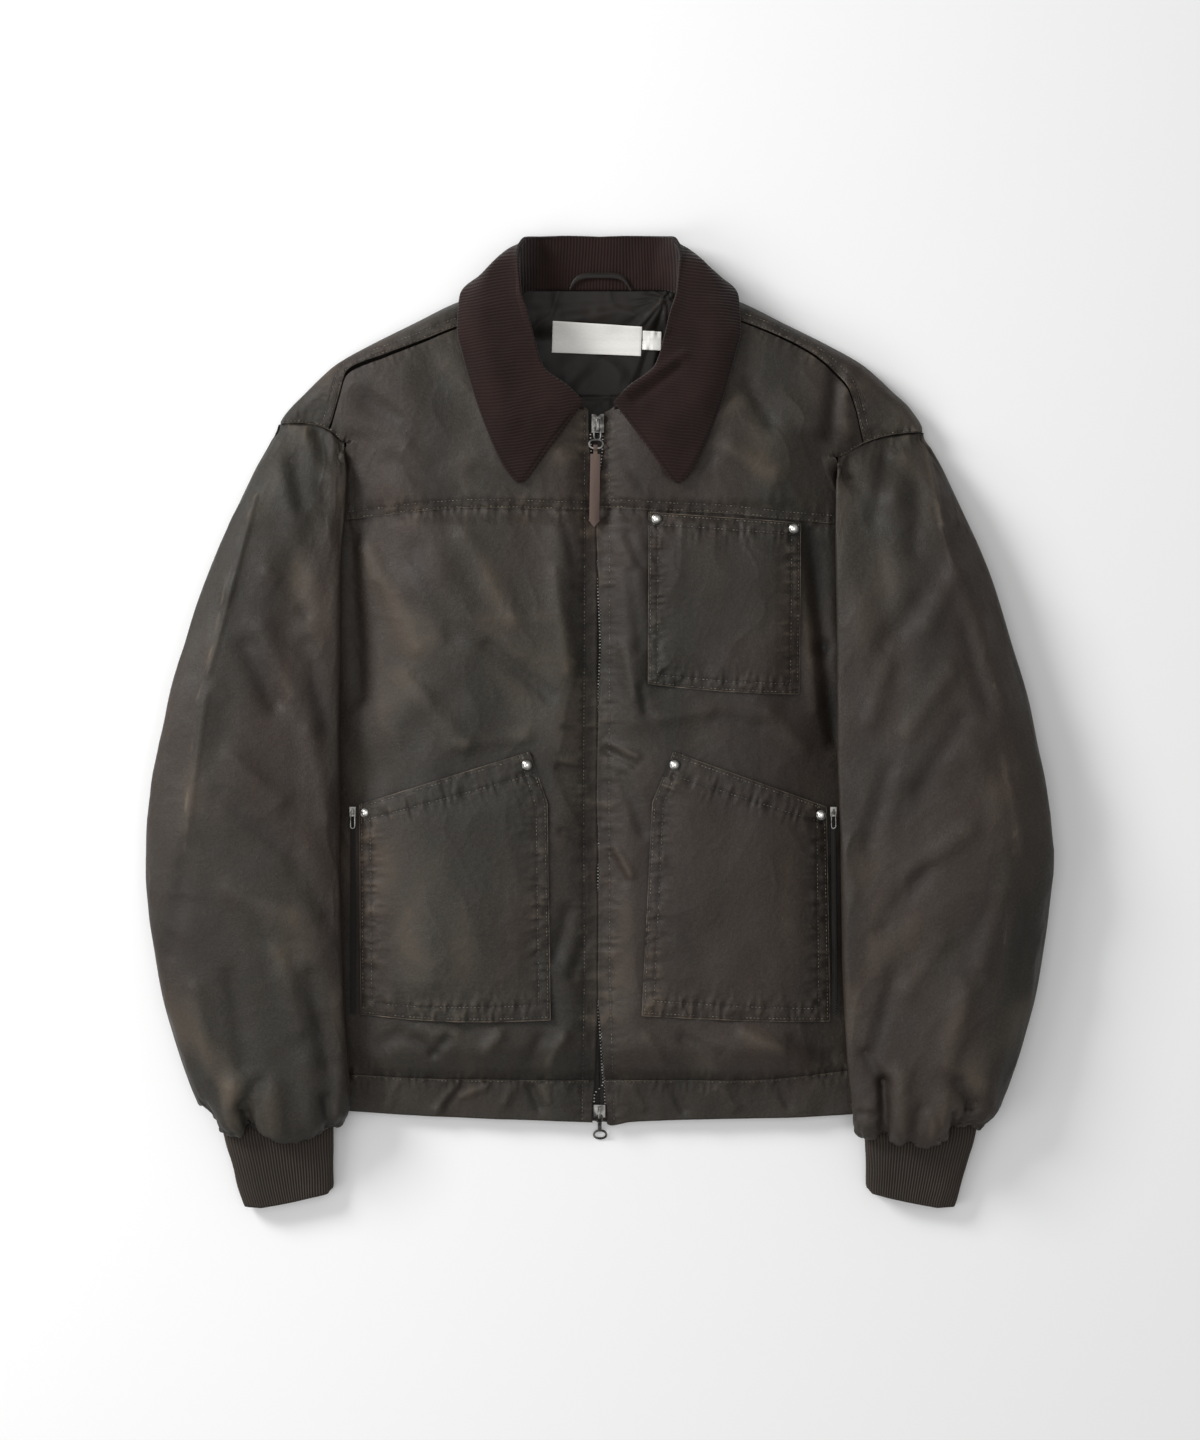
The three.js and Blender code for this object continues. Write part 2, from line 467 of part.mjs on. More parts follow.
// Collar, one row for each section from the front end to the centre back (+X side; the other mirrors it).
// Columns: section, neck seam x y z, roll x y z, fall x y z, edge x y z (height of the sheet's middle).
const COLLAR = [
  [0, 12, 254.5, 42, 13.5, 258.5, 46, 40, 223, 49, 64, 189, 47],
  [1, 31, 263, 41, 27, 271, 48, 56, 240, 51, 78, 207, 48],
  [2, 53, 283, 39, 48.5, 288.5, 48, 77, 266, 51, 97, 250.5, 46],
  [3, 68, 306, 37, 55.5, 311, 48, 88, 302, 49, 111.5, 298, 42],
  [4, 74, 326, 36, 61, 333, 47, 93, 329, 47, 116.5, 321, 39],
  [5, 72, 344, 27, 66.5, 353, 44, 93, 352, 42, 114.5, 350.5, 29],
  [6, 64, 353, 17, 67.5, 378, 38, 84, 376.5, 36, 101, 362, 14],
  [7, 52, 355.95, 10.5, 60.5, 395, 25, 73, 388, 15, 82, 354, 4],
  [8, 40, 355.95, 8.6, 47, 397, 13, 55, 392, 3, 56, 346, 2.2],
  [9, 20, 355.95, 8.6, 24, 398, 10, 27, 392, 2.3, 28, 344, 2.2],
  [10, 0, 355.95, 8.6, 0, 397.5, 9.5, 0, 392, 2.2, 0, 344, 2.2],
];
const collarCurve = curve(COLLAR);
function collarPoint(u, t) {
  const side = u < 0.5 ? -1 : 1;
  const s = 10 * (1 - Math.abs(2 * u - 1));
  const at = (c) => [side * collarCurve(s, c), collarCurve(s, c + 1), collarCurve(s, c + 2)];
  const [neck, roll, fall, edge] = [at(1), at(4), at(7), at(10)];
  // Stand, rounded roll, fall: the roll bulges past its row by the mean direction of both.
  const away = new THREE.Vector3(...roll).sub(new THREE.Vector3(...neck).add(new THREE.Vector3(...fall)).multiplyScalar(0.5)).normalize();
  const rows = [[0, ...neck], [0.22, ...neck.map((v, k) => mix(v, roll[k], 0.5))], [0.4, ...roll],
    [0.5, ...roll.map((v, k) => mix(v, mix(neck[k], fall[k], 0.5), 0.0) + [away.x, away.y, away.z][k] * 3)],
    [0.6, ...roll.map((v, k) => mix(v, fall[k], 0.22))], [0.78, ...fall], [1, ...edge]];
  const c = curve(rows);
  return [c(t, 1), c(t, 2), c(t, 3)];
}
wall("collar", (u, t) => collarPoint(u, t), 0, 0, 3, CORD, {
  us: Array.from({ length: 31 }, (_, i) => i / 30),
  vs: [0, 0.14, 0.28, 0.4, 0.46, 0.53, 0.6, 0.69, 0.78, 0.89, 1], out: 1.5,
});

// Neck lining inside the back, from the neck seam down, with its labels; heights follow the back yoke.
const inBack = (x, y) => nape(x, y) + WALL + 1.4;
wall("neck_lining", (u, v) => {
  const x = mix(-66, 64, u);
  const y = mix(236, 354, v);
  return [x * (1 - 0.06 * v), y, inBack(x, y) + 1.2 + 0.5 * Math.cos(x * 0.12) * (1 - v)];
}, 8, 6, 1, SATIN, {});
const onLining = (x, y) => inBack(x, y) + 2.4;
function patch(name, corners, lift, thick, nu, nv, height, mat) {
  const [tl, tr, br, bl] = corners;
  wall(name, (u, v) => {
    const p = [0, 1].map((k) => mix(mix(bl[k], br[k], u), mix(tl[k], tr[k], u), v));
    return [...p, height(...p) + lift];
  }, nu, nv, thick, mat, {});
}
patch("main_label", [[-37.9, 330.2], [35.3, 325.6], [34.4, 302.4], [-38.8, 305.4]], 0.4, 0.5, 6, 3, onLining, LABEL);
patch("size_label", [[36.6, 322.5], [51.4, 321.5], [51, 306.9], [36, 307.8]], 0.6, 0.5, 2, 2, onLining, LABEL);
wall("hanger_loop", (u, v) => {
  const x = mix(-24.4, 26.2, u);
  const arch = 1 - Math.abs(2 * u - 1) ** 5;
  const y = mix(359, 370.5, arch) - 4.5 * (1 - v) + 1;
  return [x, y, 11.6 + 0.8 * arch];
}, 14, 1, 1, SATIN, {});

// Patch pockets: corners as x, y; the sheet is the front's own surface, moved out, and puffed inside its edge.
const onFront = (x, y) => top(x, y) + 1.2;
const POCKETS = {
  chest_pocket: { tl: [41, 170.4], tr: [165.4, 161.8], br: [164, 21.8], bl: [40.4, 30.2], puff: 3.5, bow: 2, bend: 0 },
  pocket_r: { tl: [-197.2, -69.5], tr: [-43, -26.1], br: [-40, -245.5], bl: [-196, -242], puff: 4, bow: 3, bend: -14 },
  pocket_l: { tl: [46, -26.1], tr: [187, -71.3], br: [190, -247.5], bl: [35.4, -242], puff: 4, bow: 1, bend: 15 },
};
// u across to +X, v up; bend slants the upper end of the inner edge.
function pocketPoint(name, u, v) {
  const { tl, tr, br, bl, puff, bow, bend } = POCKETS[name];
  const p = [0, 1].map((k) => mix(mix(bl[k], br[k], u), mix(tl[k], tr[k], u), v));
  p[1] -= bow * 4 * u * (1 - u) * (1 - v);
  p[0] += bend * Math.max(0, (v - 0.81) / 0.19) * (bend < 0 ? u : 1 - u);
  const round = Math.min(1, Math.min(u, 1 - u, v, 1 - v) * 6) ** 0.6;
  return [...p, onFront(...p) + 1.4 + puff * round * (0.5 + 0.5 * Math.min(1, 1.6 * (1 - v)))];
}
for (const name of Object.keys(POCKETS))
  wall(name, (u, v) => pocketPoint(name, u, v), 0, 0, 1.6, CLOTH, {
    us: [0, 0.04, 0.14, 0.3, 0.5, 0.7, 0.86, 0.96, 1],
    vs: [0, 0.03, 0.12, 0.28, 0.46, 0.64, 0.81, 0.93, 1],
  });

function solid(name, body, mat) {
  const mesh = body.getMesh();
  const [points, faces] = [[], []];
  for (let k = 0; k < mesh.vertProperties.length; k += mesh.numProp) points.push([...mesh.vertProperties.slice(k, k + 3)]);
  for (let k = 0; k < mesh.triVerts.length; k += 3) faces.push([...mesh.triVerts.slice(k, k + 3)]);
  addMesh(name, points, faces, mat);
}
const box = (x, y, z) => wasm.Manifold.cube([x, y, z], true);
const disc = (r0, r1, h, n = 12) => wasm.Manifold.cylinder(h, r0, r1, n, false);
// Capsule-shaped link lying in the XY plane: outer length and width, bar width, thickness.
function link(length, width, bar, thick) {
  const stadium = (l, w, h) => {
    const end = disc(w / 2, w / 2, h, 12).translate([0, (l - w) / 2, -h / 2]);
    return end.add(end.mirror([0, 1, 0])).add(box(w, l - w, h));
  };
  return stadium(length, width, thick).subtract(stadium(length - 2 * bar, width - 2 * bar, thick + 2));
}

// Rivets: flat-backed domes on the pockets; pocket, place across, place up.
const RIVETS = {
  rivet_chest_a: ["chest_pocket", 0.05, 0.965], rivet_chest_b: ["chest_pocket", 0.955, 0.965],
  rivet_r_a: ["pocket_r", 0.965, 0.96], rivet_r_b: ["pocket_r", 0.035, 0.955],
  rivet_l_a: ["pocket_l", 0.035, 0.96], rivet_l_b: ["pocket_l", 0.965, 0.955],
};
const RIVET_R = 3.7;
for (const [name, [on, u, v]] of Object.entries(RIVETS)) {
  const [x, y, z] = pocketPoint(on, u, v);
  const slope = (du, dv, k) => {
    const [a, b] = [pocketPoint(on, u + du, v + dv), pocketPoint(on, u - du, v - dv)];
    return (Math.atan2(a[2] - b[2], a[k] - b[k]) * 180) / Math.PI;
  };
  const body = disc(RIVET_R, RIVET_R - 0.4, 0.8).add(disc(RIVET_R - 0.6, 1.6, 1.0).translate([0, 0, 0.7]));
  solid(name, body.rotate([slope(0, 0.02, 1), -slope(0.02, 0, 0), 0]).translate([x, y, z + 0.75]), METAL);
}

// Side zips of the lower pockets, beside the patch.
const sideZip = (y, side) => (side < 0 ? -202.8 : mix(193, 191.6, (y + 243) / 171) + 1.2);
for (const side of [-1, 1]) {
  wall(`side_zip_${tag(side)}`, (u, v) => {
    const [px, y] = [sideZip(mix(-243, -72, v), side) + (u - 0.5) * 4.4, mix(-243, -72, v)];
    return [px, y, onFront(px, y) + 1.3];
  }, 2, 12, 1.3, TAPE, {});
  const cx = sideZip(-76, side);
  const z = onFront(cx, -78) + 2.9;
  const stay = box(5.4, 8, 1.6).add(box(1.4, 5, 3.8).translate([0, 0, 1.8]).subtract(box(6, 2.8, 2).translate([0, 0, 1.95])));
  solid(`side_slider_${tag(side)}`, stay.translate([cx, -75, z + 0.6]), METAL);
  const pull = link(15, 4.6, 1.1, 0.9).translate([0, -6.9, 0]);
  solid(`side_pull_${tag(side)}`, pull.translate([cx, -75, z + 2.35]), METAL);
}

// Front zip: chain between the fronts, tapes under them and the dark underlap below.
const zipTop = (y) => top(ZIP_X, y);
const ZIP_ROWS = [-321, -309, -297, -289, -281, -271, -255, -230, -190, -140, -90, -30, 30, 90, 130, 150, 160, 166, 172,
  178, 185, 200, 220, 240, 251].map((y) => (y + 321) / 572);
const zipY = (v) => -321 + 572 * v;
wall("zip_chain", (u, v) => [ZIP_X + (u - 0.5) * 5, zipY(v), zipTop(zipY(v)) - 0.9], 1, 0, 2, METAL, { vs: ZIP_ROWS });
for (const side of [-1, 1])
  wall(`zip_tape_${tag(side)}`, (u, v) => {
    const x = ZIP_X + side * 0.3 + side * (side < 0 ? 1 - u : u) * 12;
    return [x, zipY(v), zipTop(zipY(v)) - 4];
  }, 1, 0, 0.8, TAPE, { vs: ZIP_ROWS });
wall("zip_guard", (u, v) => [ZIP_X + (u - 0.42) * 34, zipY(v), zipTop(zipY(v)) - 5.6], 1, 0, 1, TAPE, { vs: ZIP_ROWS });

// Top slider, its ring and the leather strap. The bridge holds the ring's upper bar.
// The strap rises a little towards its point, over the fronts' fullness.
const STRAP_RISE = 2.2;
{
  const [x, y, z] = [ZIP_X, 244, zipTop(244) + 2.6];
  const plate = box(10.4, 15.4, 2).subtract(box(4, 4, 3).rotate([0, 0, 45]).translate([0, 8.4, 0]));
  const bridge = box(3, 10, 5.6).translate([0, -1.6, 3.5]).subtract(box(4, 6.4, 3.3).translate([0, -1.6, 2.95]));
  solid("slider_top", plate.add(bridge).translate([x, y, z + 0.4]), METAL);
  const ringY = y - 4.2;
  const ring = link(12, 6.6, 1.1, 1.3).translate([0, -4.1, 0])
    .add(link(13, 8.2, 1.4, 1.3).rotate([0, 0, 90]).translate([-1, -12.8, 0]));
  solid("pull_top", ring.translate([x - 0.5, ringY, z + 2.9]), METAL);
  const barY = ringY - 16.2;
  // Strap: a loop round the ring's lower bar, then a flat tongue to its point.
  const eye = wasm.Manifold.cylinder(3.4, 2.9, 2.9, 20, true).subtract(wasm.Manifold.cylinder(8, 1.45, 1.45, 16, true)).rotate([0, 90, 0]);
  const tongue = box(8.2, 55, 2.4).translate([0, -32.5, 0]).add(box(3.4, 6, 2.4).translate([0, -3.6, 0])).add(
    wasm.Manifold.cylinder(2.4, 4.1, 4.1, 3, true).scale([1.0, 1.35, 1]).rotate([0, 0, -90]).translate([0, -61.2, 0]));
  const hole = wasm.Manifold.cylinder(8, 1.45, 1.45, 16, true).rotate([0, 90, 0]);
  const strap = eye.add(tongue).subtract(hole).rotate([-STRAP_RISE, 0, -1]);
  solid("strap_top", strap.translate([x - 1.9, barY, z + 2.9]), LEATHER);
}

// Hem slider; its ring hangs over the hem and rests on the floor.
{
  const y = -324.5;
  const [x, z] = [0.4, zipTop(y) + 1.7];
  const plate = box(9.6, 10.6, 1.8).translate([0, 1.2, 0]);
  const bridge = box(2.2, 9.4, 6).translate([0, 0.3, 3.5]).subtract(box(4, 7.4, 4.4).translate([0, 0.3, 3.1]));
  solid("slider_hem", plate.add(bridge).translate([x, y, z]), METAL);
  const [pivotY, low, length] = [y - 1.9, z + 3.6, 26.2];
  const slope = Math.asin((low - 0.62) / length);
  const pull = link(11.9, 10.2, 1.5, 1.2).rotate([0, 0, 90]).translate([0.5, -length + 5.1, 0])
    .add(box(3.2, 10, 1.2).translate([0.2, -11.6, 0])).add(link(8.4, 5.6, 1.1, 1.2).translate([0, -3.6, 0]));
  solid("pull_hem", pull.rotate([(slope * 180) / Math.PI, 0, 0]).translate([x, pivotY, low]), METAL);
}

export default root;
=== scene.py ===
"""Waxed cotton jacket, laid flat: cloth, seams, stitching, corduroy, rib knit, zips and labels around its CAD frame.

Lengths are in millimetres until a mesh is made, then metres. x runs to the wearer's left, y to the collar, z up.
Side -1 is the wearer's right (names end in _r), side +1 the wearer's left (_l).
"""

import json

import bpy
import numpy as np
from bpy.props import FloatProperty, IntProperty, PointerProperty
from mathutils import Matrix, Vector

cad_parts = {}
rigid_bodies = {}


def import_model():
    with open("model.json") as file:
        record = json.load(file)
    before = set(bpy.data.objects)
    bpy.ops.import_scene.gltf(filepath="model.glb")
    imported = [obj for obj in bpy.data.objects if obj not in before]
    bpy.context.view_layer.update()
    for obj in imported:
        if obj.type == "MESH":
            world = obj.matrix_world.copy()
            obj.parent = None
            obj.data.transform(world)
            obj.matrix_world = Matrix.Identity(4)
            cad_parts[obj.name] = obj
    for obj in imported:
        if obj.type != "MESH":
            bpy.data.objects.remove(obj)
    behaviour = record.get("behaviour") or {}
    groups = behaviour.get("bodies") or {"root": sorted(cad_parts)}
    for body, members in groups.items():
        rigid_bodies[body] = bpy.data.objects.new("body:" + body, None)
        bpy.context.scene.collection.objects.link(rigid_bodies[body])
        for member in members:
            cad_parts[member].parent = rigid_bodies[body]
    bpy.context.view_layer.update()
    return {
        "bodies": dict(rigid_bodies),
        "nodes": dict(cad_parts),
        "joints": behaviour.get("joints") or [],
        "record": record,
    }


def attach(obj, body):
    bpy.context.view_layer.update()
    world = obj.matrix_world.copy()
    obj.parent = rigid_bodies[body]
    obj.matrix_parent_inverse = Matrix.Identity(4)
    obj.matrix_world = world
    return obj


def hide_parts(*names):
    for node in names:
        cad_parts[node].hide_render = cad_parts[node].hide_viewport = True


bl_info = {
    "name": "Waxed jacket",
    "version": (1, 0, 0),
    "blender": (4, 5, 0),
    "location": "View3D > Sidebar > Jacket",
    "description": "Dresses the packed jacket frame in waxed cotton, corduroy and rib knit",
    "category": "Object",
}

MM = 0.001
WALL, ROLL, FOLD, ZIP_X, LIP = 3.0, 9.0, 11.0, -1.0, 1.5
RIB_HIGH, RIBS, CUFF_LIFT = 0.9, 56, 4.0
HALF_PI = np.pi / 2
FRAME = {}


# ---------- curves and tables


def hermite(nodes, values):
    """Smooth curve through values at nodes, flat past its ends; slopes are harmonic means, so it never overshoots."""
    nodes, values = np.asarray(nodes, float), np.asarray(values, float)
    steps = np.diff(nodes).reshape((-1,) + (1,) * (values.ndim - 1))
    slopes = np.diff(values, axis=0) / steps
    tangents = np.zeros_like(values)
    before, after = slopes[:-1], slopes[1:]
    total = before + after
    tangents[1:-1] = np.where(before * after > 0, 2 * before * after / np.where(total == 0, 1, total), 0)
    tangents[0], tangents[-1] = 0.5 * slopes[0], 0.5 * slopes[-1]

    def at(t):
        t = np.clip(np.asarray(t, float), nodes[0], nodes[-1])
        k = np.clip(np.searchsorted(nodes, t, side="right") - 1, 0, len(nodes) - 2)
        step = (nodes[k + 1] - nodes[k]).reshape(t.shape + (1,) * (values.ndim - 1))
        s = (t - nodes[k]).reshape(step.shape) / step
        return (
            (2 * s**3 - 3 * s * s + 1) * values[k]
            + (s**3 - 2 * s * s + s) * tangents[k] * step
            + (3 * s * s - 2 * s**3) * values[k + 1]
            + (s**3 - s * s) * tangents[k + 1] * step
        )

    return at


def curve(rows):
    """Function of (t, column) through a table whose first column is t."""
    rows = np.array(rows, float)
    at = hermite(rows[:, 0], rows[:, 1:])
    return lambda t, column=1: at(t)[..., column - 1]


def smooth(v):
    v = np.clip(v, 0, 1)
    return v * v * (3 - 2 * v)


def mix(a, b, t):
    return a + (b - a) * t


# Half width of the body: y, right side, left side.
BODY_HALF = curve([
    [-334, 219, 219], [-297, 227, 227], [-250, 233, 232], [-150, 236, 235], [0, 236, 235],
    [60, 234, 232], [120, 230, 224], [170, 223, 212], [205, 213, 195.5], [217, 210, 192], [229, 207, 192],
])
FORK = {-1: (209, 229.2), 1: (195.9, 217.1)}
# Shoulder contour: |x|, y on the right side, y on the left side.
SHOULDER = curve([
    [0, 366.7, 366.7], [60, 366, 366], [75, 362, 362], [90, 355, 355], [116, 346.5, 346.5],
    [153.9, 328, 328], [191.3, 309.4, 309.4], [217.6, 294.5, 294.5], [230.8, 283, 283.5],
    [244, 269.9, 271], [255, 258.9, 261], [262, 250, 252], [265.6, 243, 246.5], [269.6, 236, 239],
])
# Seam of sleeves, yokes and back: x, y.
ARMHOLE = curve([
    [-266, 245], [-248.5, 245.3], [-233, 243.5], [-222.1, 239], [-208.9, 229.2], [-150, 226],
    [0, 222], [140, 219], [195.9, 217.1], [220, 229.2], [237.6, 234.7], [253, 236.9], [270, 238],
])
# Shoulder seam on the front: |x|, y.
SHOULDER_SEAM = {
    -1: curve([
        [85, 335], [117.7, 323.7], [142.9, 313.7], [175.9, 301.7], [203, 292], [208.9, 287], [214, 269.9], [222.2, 243.5],
    ]),
    1: curve([
        [85, 338], [118.9, 328], [154.2, 313.7], [176.1, 301.7], [193.7, 287.4], [204.7, 274.2],
        [211.2, 256.7], [217.9, 231.5],
    ]),
}
SEAM_END = {-1: 222.2, 1: 217.9}
# Height of the front along y: y, at the sides, at the crown.
FRONT_HIGH = curve([
    [-336, 10.5, 12], [-297, 13, 18], [-285, 15, 30], [-266, 17, 38], [-235, 18, 38], [-150, 18, 42],
    [0, 18, 46], [100, 18, 46], [158, 18, 44], [172, 18, 39], [184, 18.5, 42], [229, 20, 41],
    [280, 22, 37], [330, 22, 31], [357, 22, 27], [370, 22, 24],
])
FRONT_REACH = curve([[-336, 226], [-297, 232], [150, 232], [229, 242], [245, 256], [300, 250], [370, 240]])
# Largest folds: from x, y to x, y, half width, height (minus is a trough).
FOLDS = [
    [-60, 60, -150, 110, 20, 3], [-185, 150, -150, 40, 18, -4], [-30, 150, -36, -20, 13, 3],
    [-120, -270, -60, -262, 20, 3], [-180, -40, -120, 20, 16, -3], [-150, 240, -60, 215, 22, 3],
    [-190, 265, -130, 215, 15, -3], [60, 215, 150, 235, 22, 3], [185, 140, 150, 0, 16, -3],
    [30, 140, 30, 0, 12, 3], [20, -20, 130, -14, 18, -2], [150, 265, 188, 215, 15, -3],
    [100, -275, 160, -268, 20, 3], [-30, -200, -26, -260, 12, 2],
]
YOKE_SEAM = curve([
    [-230, 164], [-208.9, 165.5], [-175.9, 168.8], [-138.6, 172.4], [-102, 174.3], [-12.3, 172.4], [2.5, 174.3],
    [60.9, 171.5], [99.2, 169.9], [148.4, 165.1], [193.7, 162.2], [230, 160],
])
NECKLINE = curve([[0, 6, 254], [0.2, 24, 266], [0.45, 50, 288], [0.7, 68, 316], [1, 85, 335]])
HEM_EDGE = curve([
    [-226, -321], [-202.5, -323.4], [-114, -328.4], [-7.4, -332.5], [6.5, -333.7], [9.8, -335], [25.4, -332.2],
    [82.8, -329.8], [154, -328.4], [207.2, -325.9], [226, -324],
])
HEM_SEAM = curve([
    [-230, -291], [-204.6, -292.8], [-114, -296.4], [-7.4, -297.3], [6.5, -297.1], [118.5, -297.1], [203.8, -289.9], [230, -288],
])
# Sleeve: y, outer |x|, inner |x| right, inner |x| left, crown height.
SLEEVE = curve([
    [-336, 319, 208, 209, 43], [-330, 326, 205, 207.5, 47], [-313.7, 333.7, 204.6, 206.5, 50], [-291.5, 341.4, 205.8, 204.5, 52],
    [-261, 350.6, 207.9, 202.5, 54], [-226.7, 360, 209.5, 200.5, 55], [-189.8, 366.3, 210.7, 199.3, 56],
    [-156, 371, 211.6, 198.8, 57], [-125, 373.5, 212, 198.3, 57], [-94.7, 373, 212.4, 198, 57], [-57, 369, 212.4, 196.5, 56],
    [-20, 361.6, 212.7, 195.2, 55], [16.8, 354.2, 212.4, 194.8, 54], [66, 339.5, 211.6, 195, 53], [107, 327.2, 211.6, 194.5, 51],
    [139.8, 314.9, 211.1, 194.2, 48], [172.6, 300.1, 208.7, 194.5, 44], [205.4, 285, 207, 195.2, 38], [243, 266, 208.5, 195.9, 30],
])
SLEEVE_FOLDS = {
    -1: [[-289, 176, -307, 107, 9, 3], [-307, 107, -339, -106, 11, 3], [-235, 150, -262, 20, 16, -4],
         [-330, -150, -262, -190, 16, -3], [-225, -120, -300, -60, 18, 3], [-262, 215, -236, 120, 10, 2.5]],
    1: [[270, 238, 283, 160, 9, 3], [283, 160, 330, 20, 11, 3], [222, 160, 240, 40, 15, -4],
        [225, -60, 300, -20, 18, 3], [345, -140, 262, -200, 16, -3], [330, -60, 345, -200, 12, 2.5]],
}
# Cuff: y, inner and outer |x| right, inner and outer left, height.
CUFF = curve([
    [-403, 219.2, 294.3, 222, 295, 17], [-388, 219.4, 298.5, 221, 299, 19], [-366, 219.6, 304, 220.4, 304.6, 21],
    [-338, 219.5, 311, 219, 312, 22],
])
# Collar, one row a section from the front end to the centre back: neck seam x y z, roll x y z, fall x y z, edge x y z.
COLLAR = curve([
    [0, 12, 254.5, 42, 13.5, 258.5, 46, 40, 223, 49, 64, 189, 47],
    [1, 31, 263, 41, 27, 271, 48, 56, 240, 51, 78, 207, 48],
    [2, 53, 283, 39, 48.5, 288.5, 48, 77, 266, 51, 97, 250.5, 46],
    [3, 68, 306, 37, 55.5, 311, 48, 88, 302, 49, 111.5, 298, 42],
    [4, 74, 326, 36, 61, 333, 47, 93, 329, 47, 116.5, 321, 39],
    [5, 72, 344, 27, 66.5, 353, 44, 93, 352, 42, 114.5, 350.5, 29],
    [6, 64, 353, 17, 67.5, 378, 38, 84, 376.5, 36, 101, 362, 14],
    [7, 52, 355.95, 10.5, 60.5, 395, 25, 73, 388, 15, 82, 354, 4],
    [8, 40, 355.95, 8.6, 47, 397, 13, 55, 392, 3, 56, 346, 2.2],
    [9, 20, 355.95, 8.6, 24, 398, 10, 27, 392, 2.3, 28, 344, 2.2],
    [10, 0, 355.95, 8.6, 0, 397.5, 9.5, 0, 392, 2.2, 0, 344, 2.2],
])
COLLAR_CREASES = [[70, 300, 22, 268, 4, 2.6], [66, 290, 30, 262, 4, -2.4], [-90, 300, -70, 250, 9, 1.2], [96, 310, 84, 250, 9, 1]]
# Opening between the fronts over the zip: y, centre x, half width.
ZIP_GAP = curve([
    [-337, 0.6, 6.4], [-322, 0.4, 6], [-300, 0.3, 4.6], [-260, 0, 2.5], [-217, -1.1, 0.4], [-175, -1, 0.3], [-150, -0.9, 0.5],
    [-127, -0.7, 1.4], [-108, -0.9, 0.6], [-60, -1.8, 0.3], [-30, -1.4, 0.3], [0, -1, 0.6], [30, -0.4, 1.4], [64, 0.2, 2],
    [100, -0.6, 1.5], [130, -1.6, 0.8], [157, -2.2, 0.5], [190, -1.8, 1.2], [210, -1.8, 4], [228, -2, 6.2], [257, -2.1, 6.6],
])
# Main creases of the front: from x, y to x, y, half width, height (minus is a trough).
CREASES = [
    [8, -18, 31, -29, 3.5, 1.5], [6, -24, 30, -37, 3.5, -1.5], [12, -104, 26, -126, 4, 1.6], [9, -110, 20, -131, 4, -1.3],
    [20, -47, 36, -90, 6, -2], [-28, -6, -4, -10, 3, -1.2], [-30, -33, -4, -37, 3, 1], [-32, -38, -8, -43, 3.5, -1.4],
    [-30, -91, -4, -102, 4, -1.5], [-36, -194, -25, -156, 7, -2.2], [-22, -210, -12, -182, 5, -1.6],
    [-152, -262, -136, -273, 5, -2], [-136, -273, -124, -261, 5, -2], [-145, -254, -118, -258, 7, 1.5],
    [-92, -270, -82, -258, 6, 2.2], [-41, -281, -28, -260, 5, 2], [-56, -276, -48, -262, 6, -1.8], [-180, -268, -165, -258, 7, -1.8],
    [-134, -322, -120, -304, 4, 1.8], [-114, -311, -93, -302, 3.5, 1.4], [-126, -318, -112, -300, 3.5, -1.5],
    [-57, -303, -50, -320, 4, -1.7], [-46, -302, -42, -314, 3.5, 1.4], [-176, -318, -168, -300, 5, 1.2], [-78, -316, -70, -303, 4, 1.1],
    [122, 276, 140, 245, 8, -2.2], [108, 222, 143, 201, 9, 2], [195, 284, 190, 236, 7, -3.2], [203, 276, 204, 236, 6, 2],
    [90, 248, 118, 262, 8, 1.6], [152, 268, 176, 240, 9, 1.6], [60, 205, 92, 216, 7, -1.6], [20, 214, 34, 196, 6, -1.4],
    [174, 154, 184, 60, 8, -3.4], [184, 60, 193, -16, 7, -3.2], [168, 120, 178, 10, 7, 1.8], [34, 27, 38, 8, 4, -1.6],
    [50, 2, 92, 8, 6, 1.4], [96, 2, 130, -6, 7, -1.6], [140, 6, 168, -22, 7, 1.6], [26, 120, 33, 62, 6, -1.8], [20, 60, 30, 20, 6, 1.5],
    [24, 152, 33, 128, 5, -1.6], [-190, 262, -150, 236, 10, -2], [-120, 290, -80, 244, 12, 1.8], [-60, 232, -24, 214, 9, 1.6],
    [-170, 214, -120, 184, 9, -1.8], [-100, 204, -64, 190, 8, -1.3], [-190, 140, -150, 60, 9, 2.2], [-204, 150, -196, 20, 8, -2.5],
    [-150, 140, -120, 70, 10, -2.2], [-110, 150, -70, 84, 9, 1.8], [-90, 60, -40, 20, 8, -1.8], [-160, 36, -110, -20, 9, 1.8],
    [-120, -20, -60, -12, 7, 1.4], [-36, 120, -24, 40, 6, 1.6], [-28, 160, -20, 130, 5, -1.4], [-20, 110, -12, 108, 3, -1],
    [70, -262, 100, -274, 6, -1.8], [120, -256, 150, -270, 6, 1.8], [160, -262, 190, -276, 6, -1.8], [40, -262, 52, -282, 6, 1.6],
    [60, -303, 70, -322, 4, -1.5], [100, -302, 112, -320, 4.5, 1.5], [148, -300, 156, -318, 4, -1.4], [28, -304, 36, -320, 4, 1.3],
]
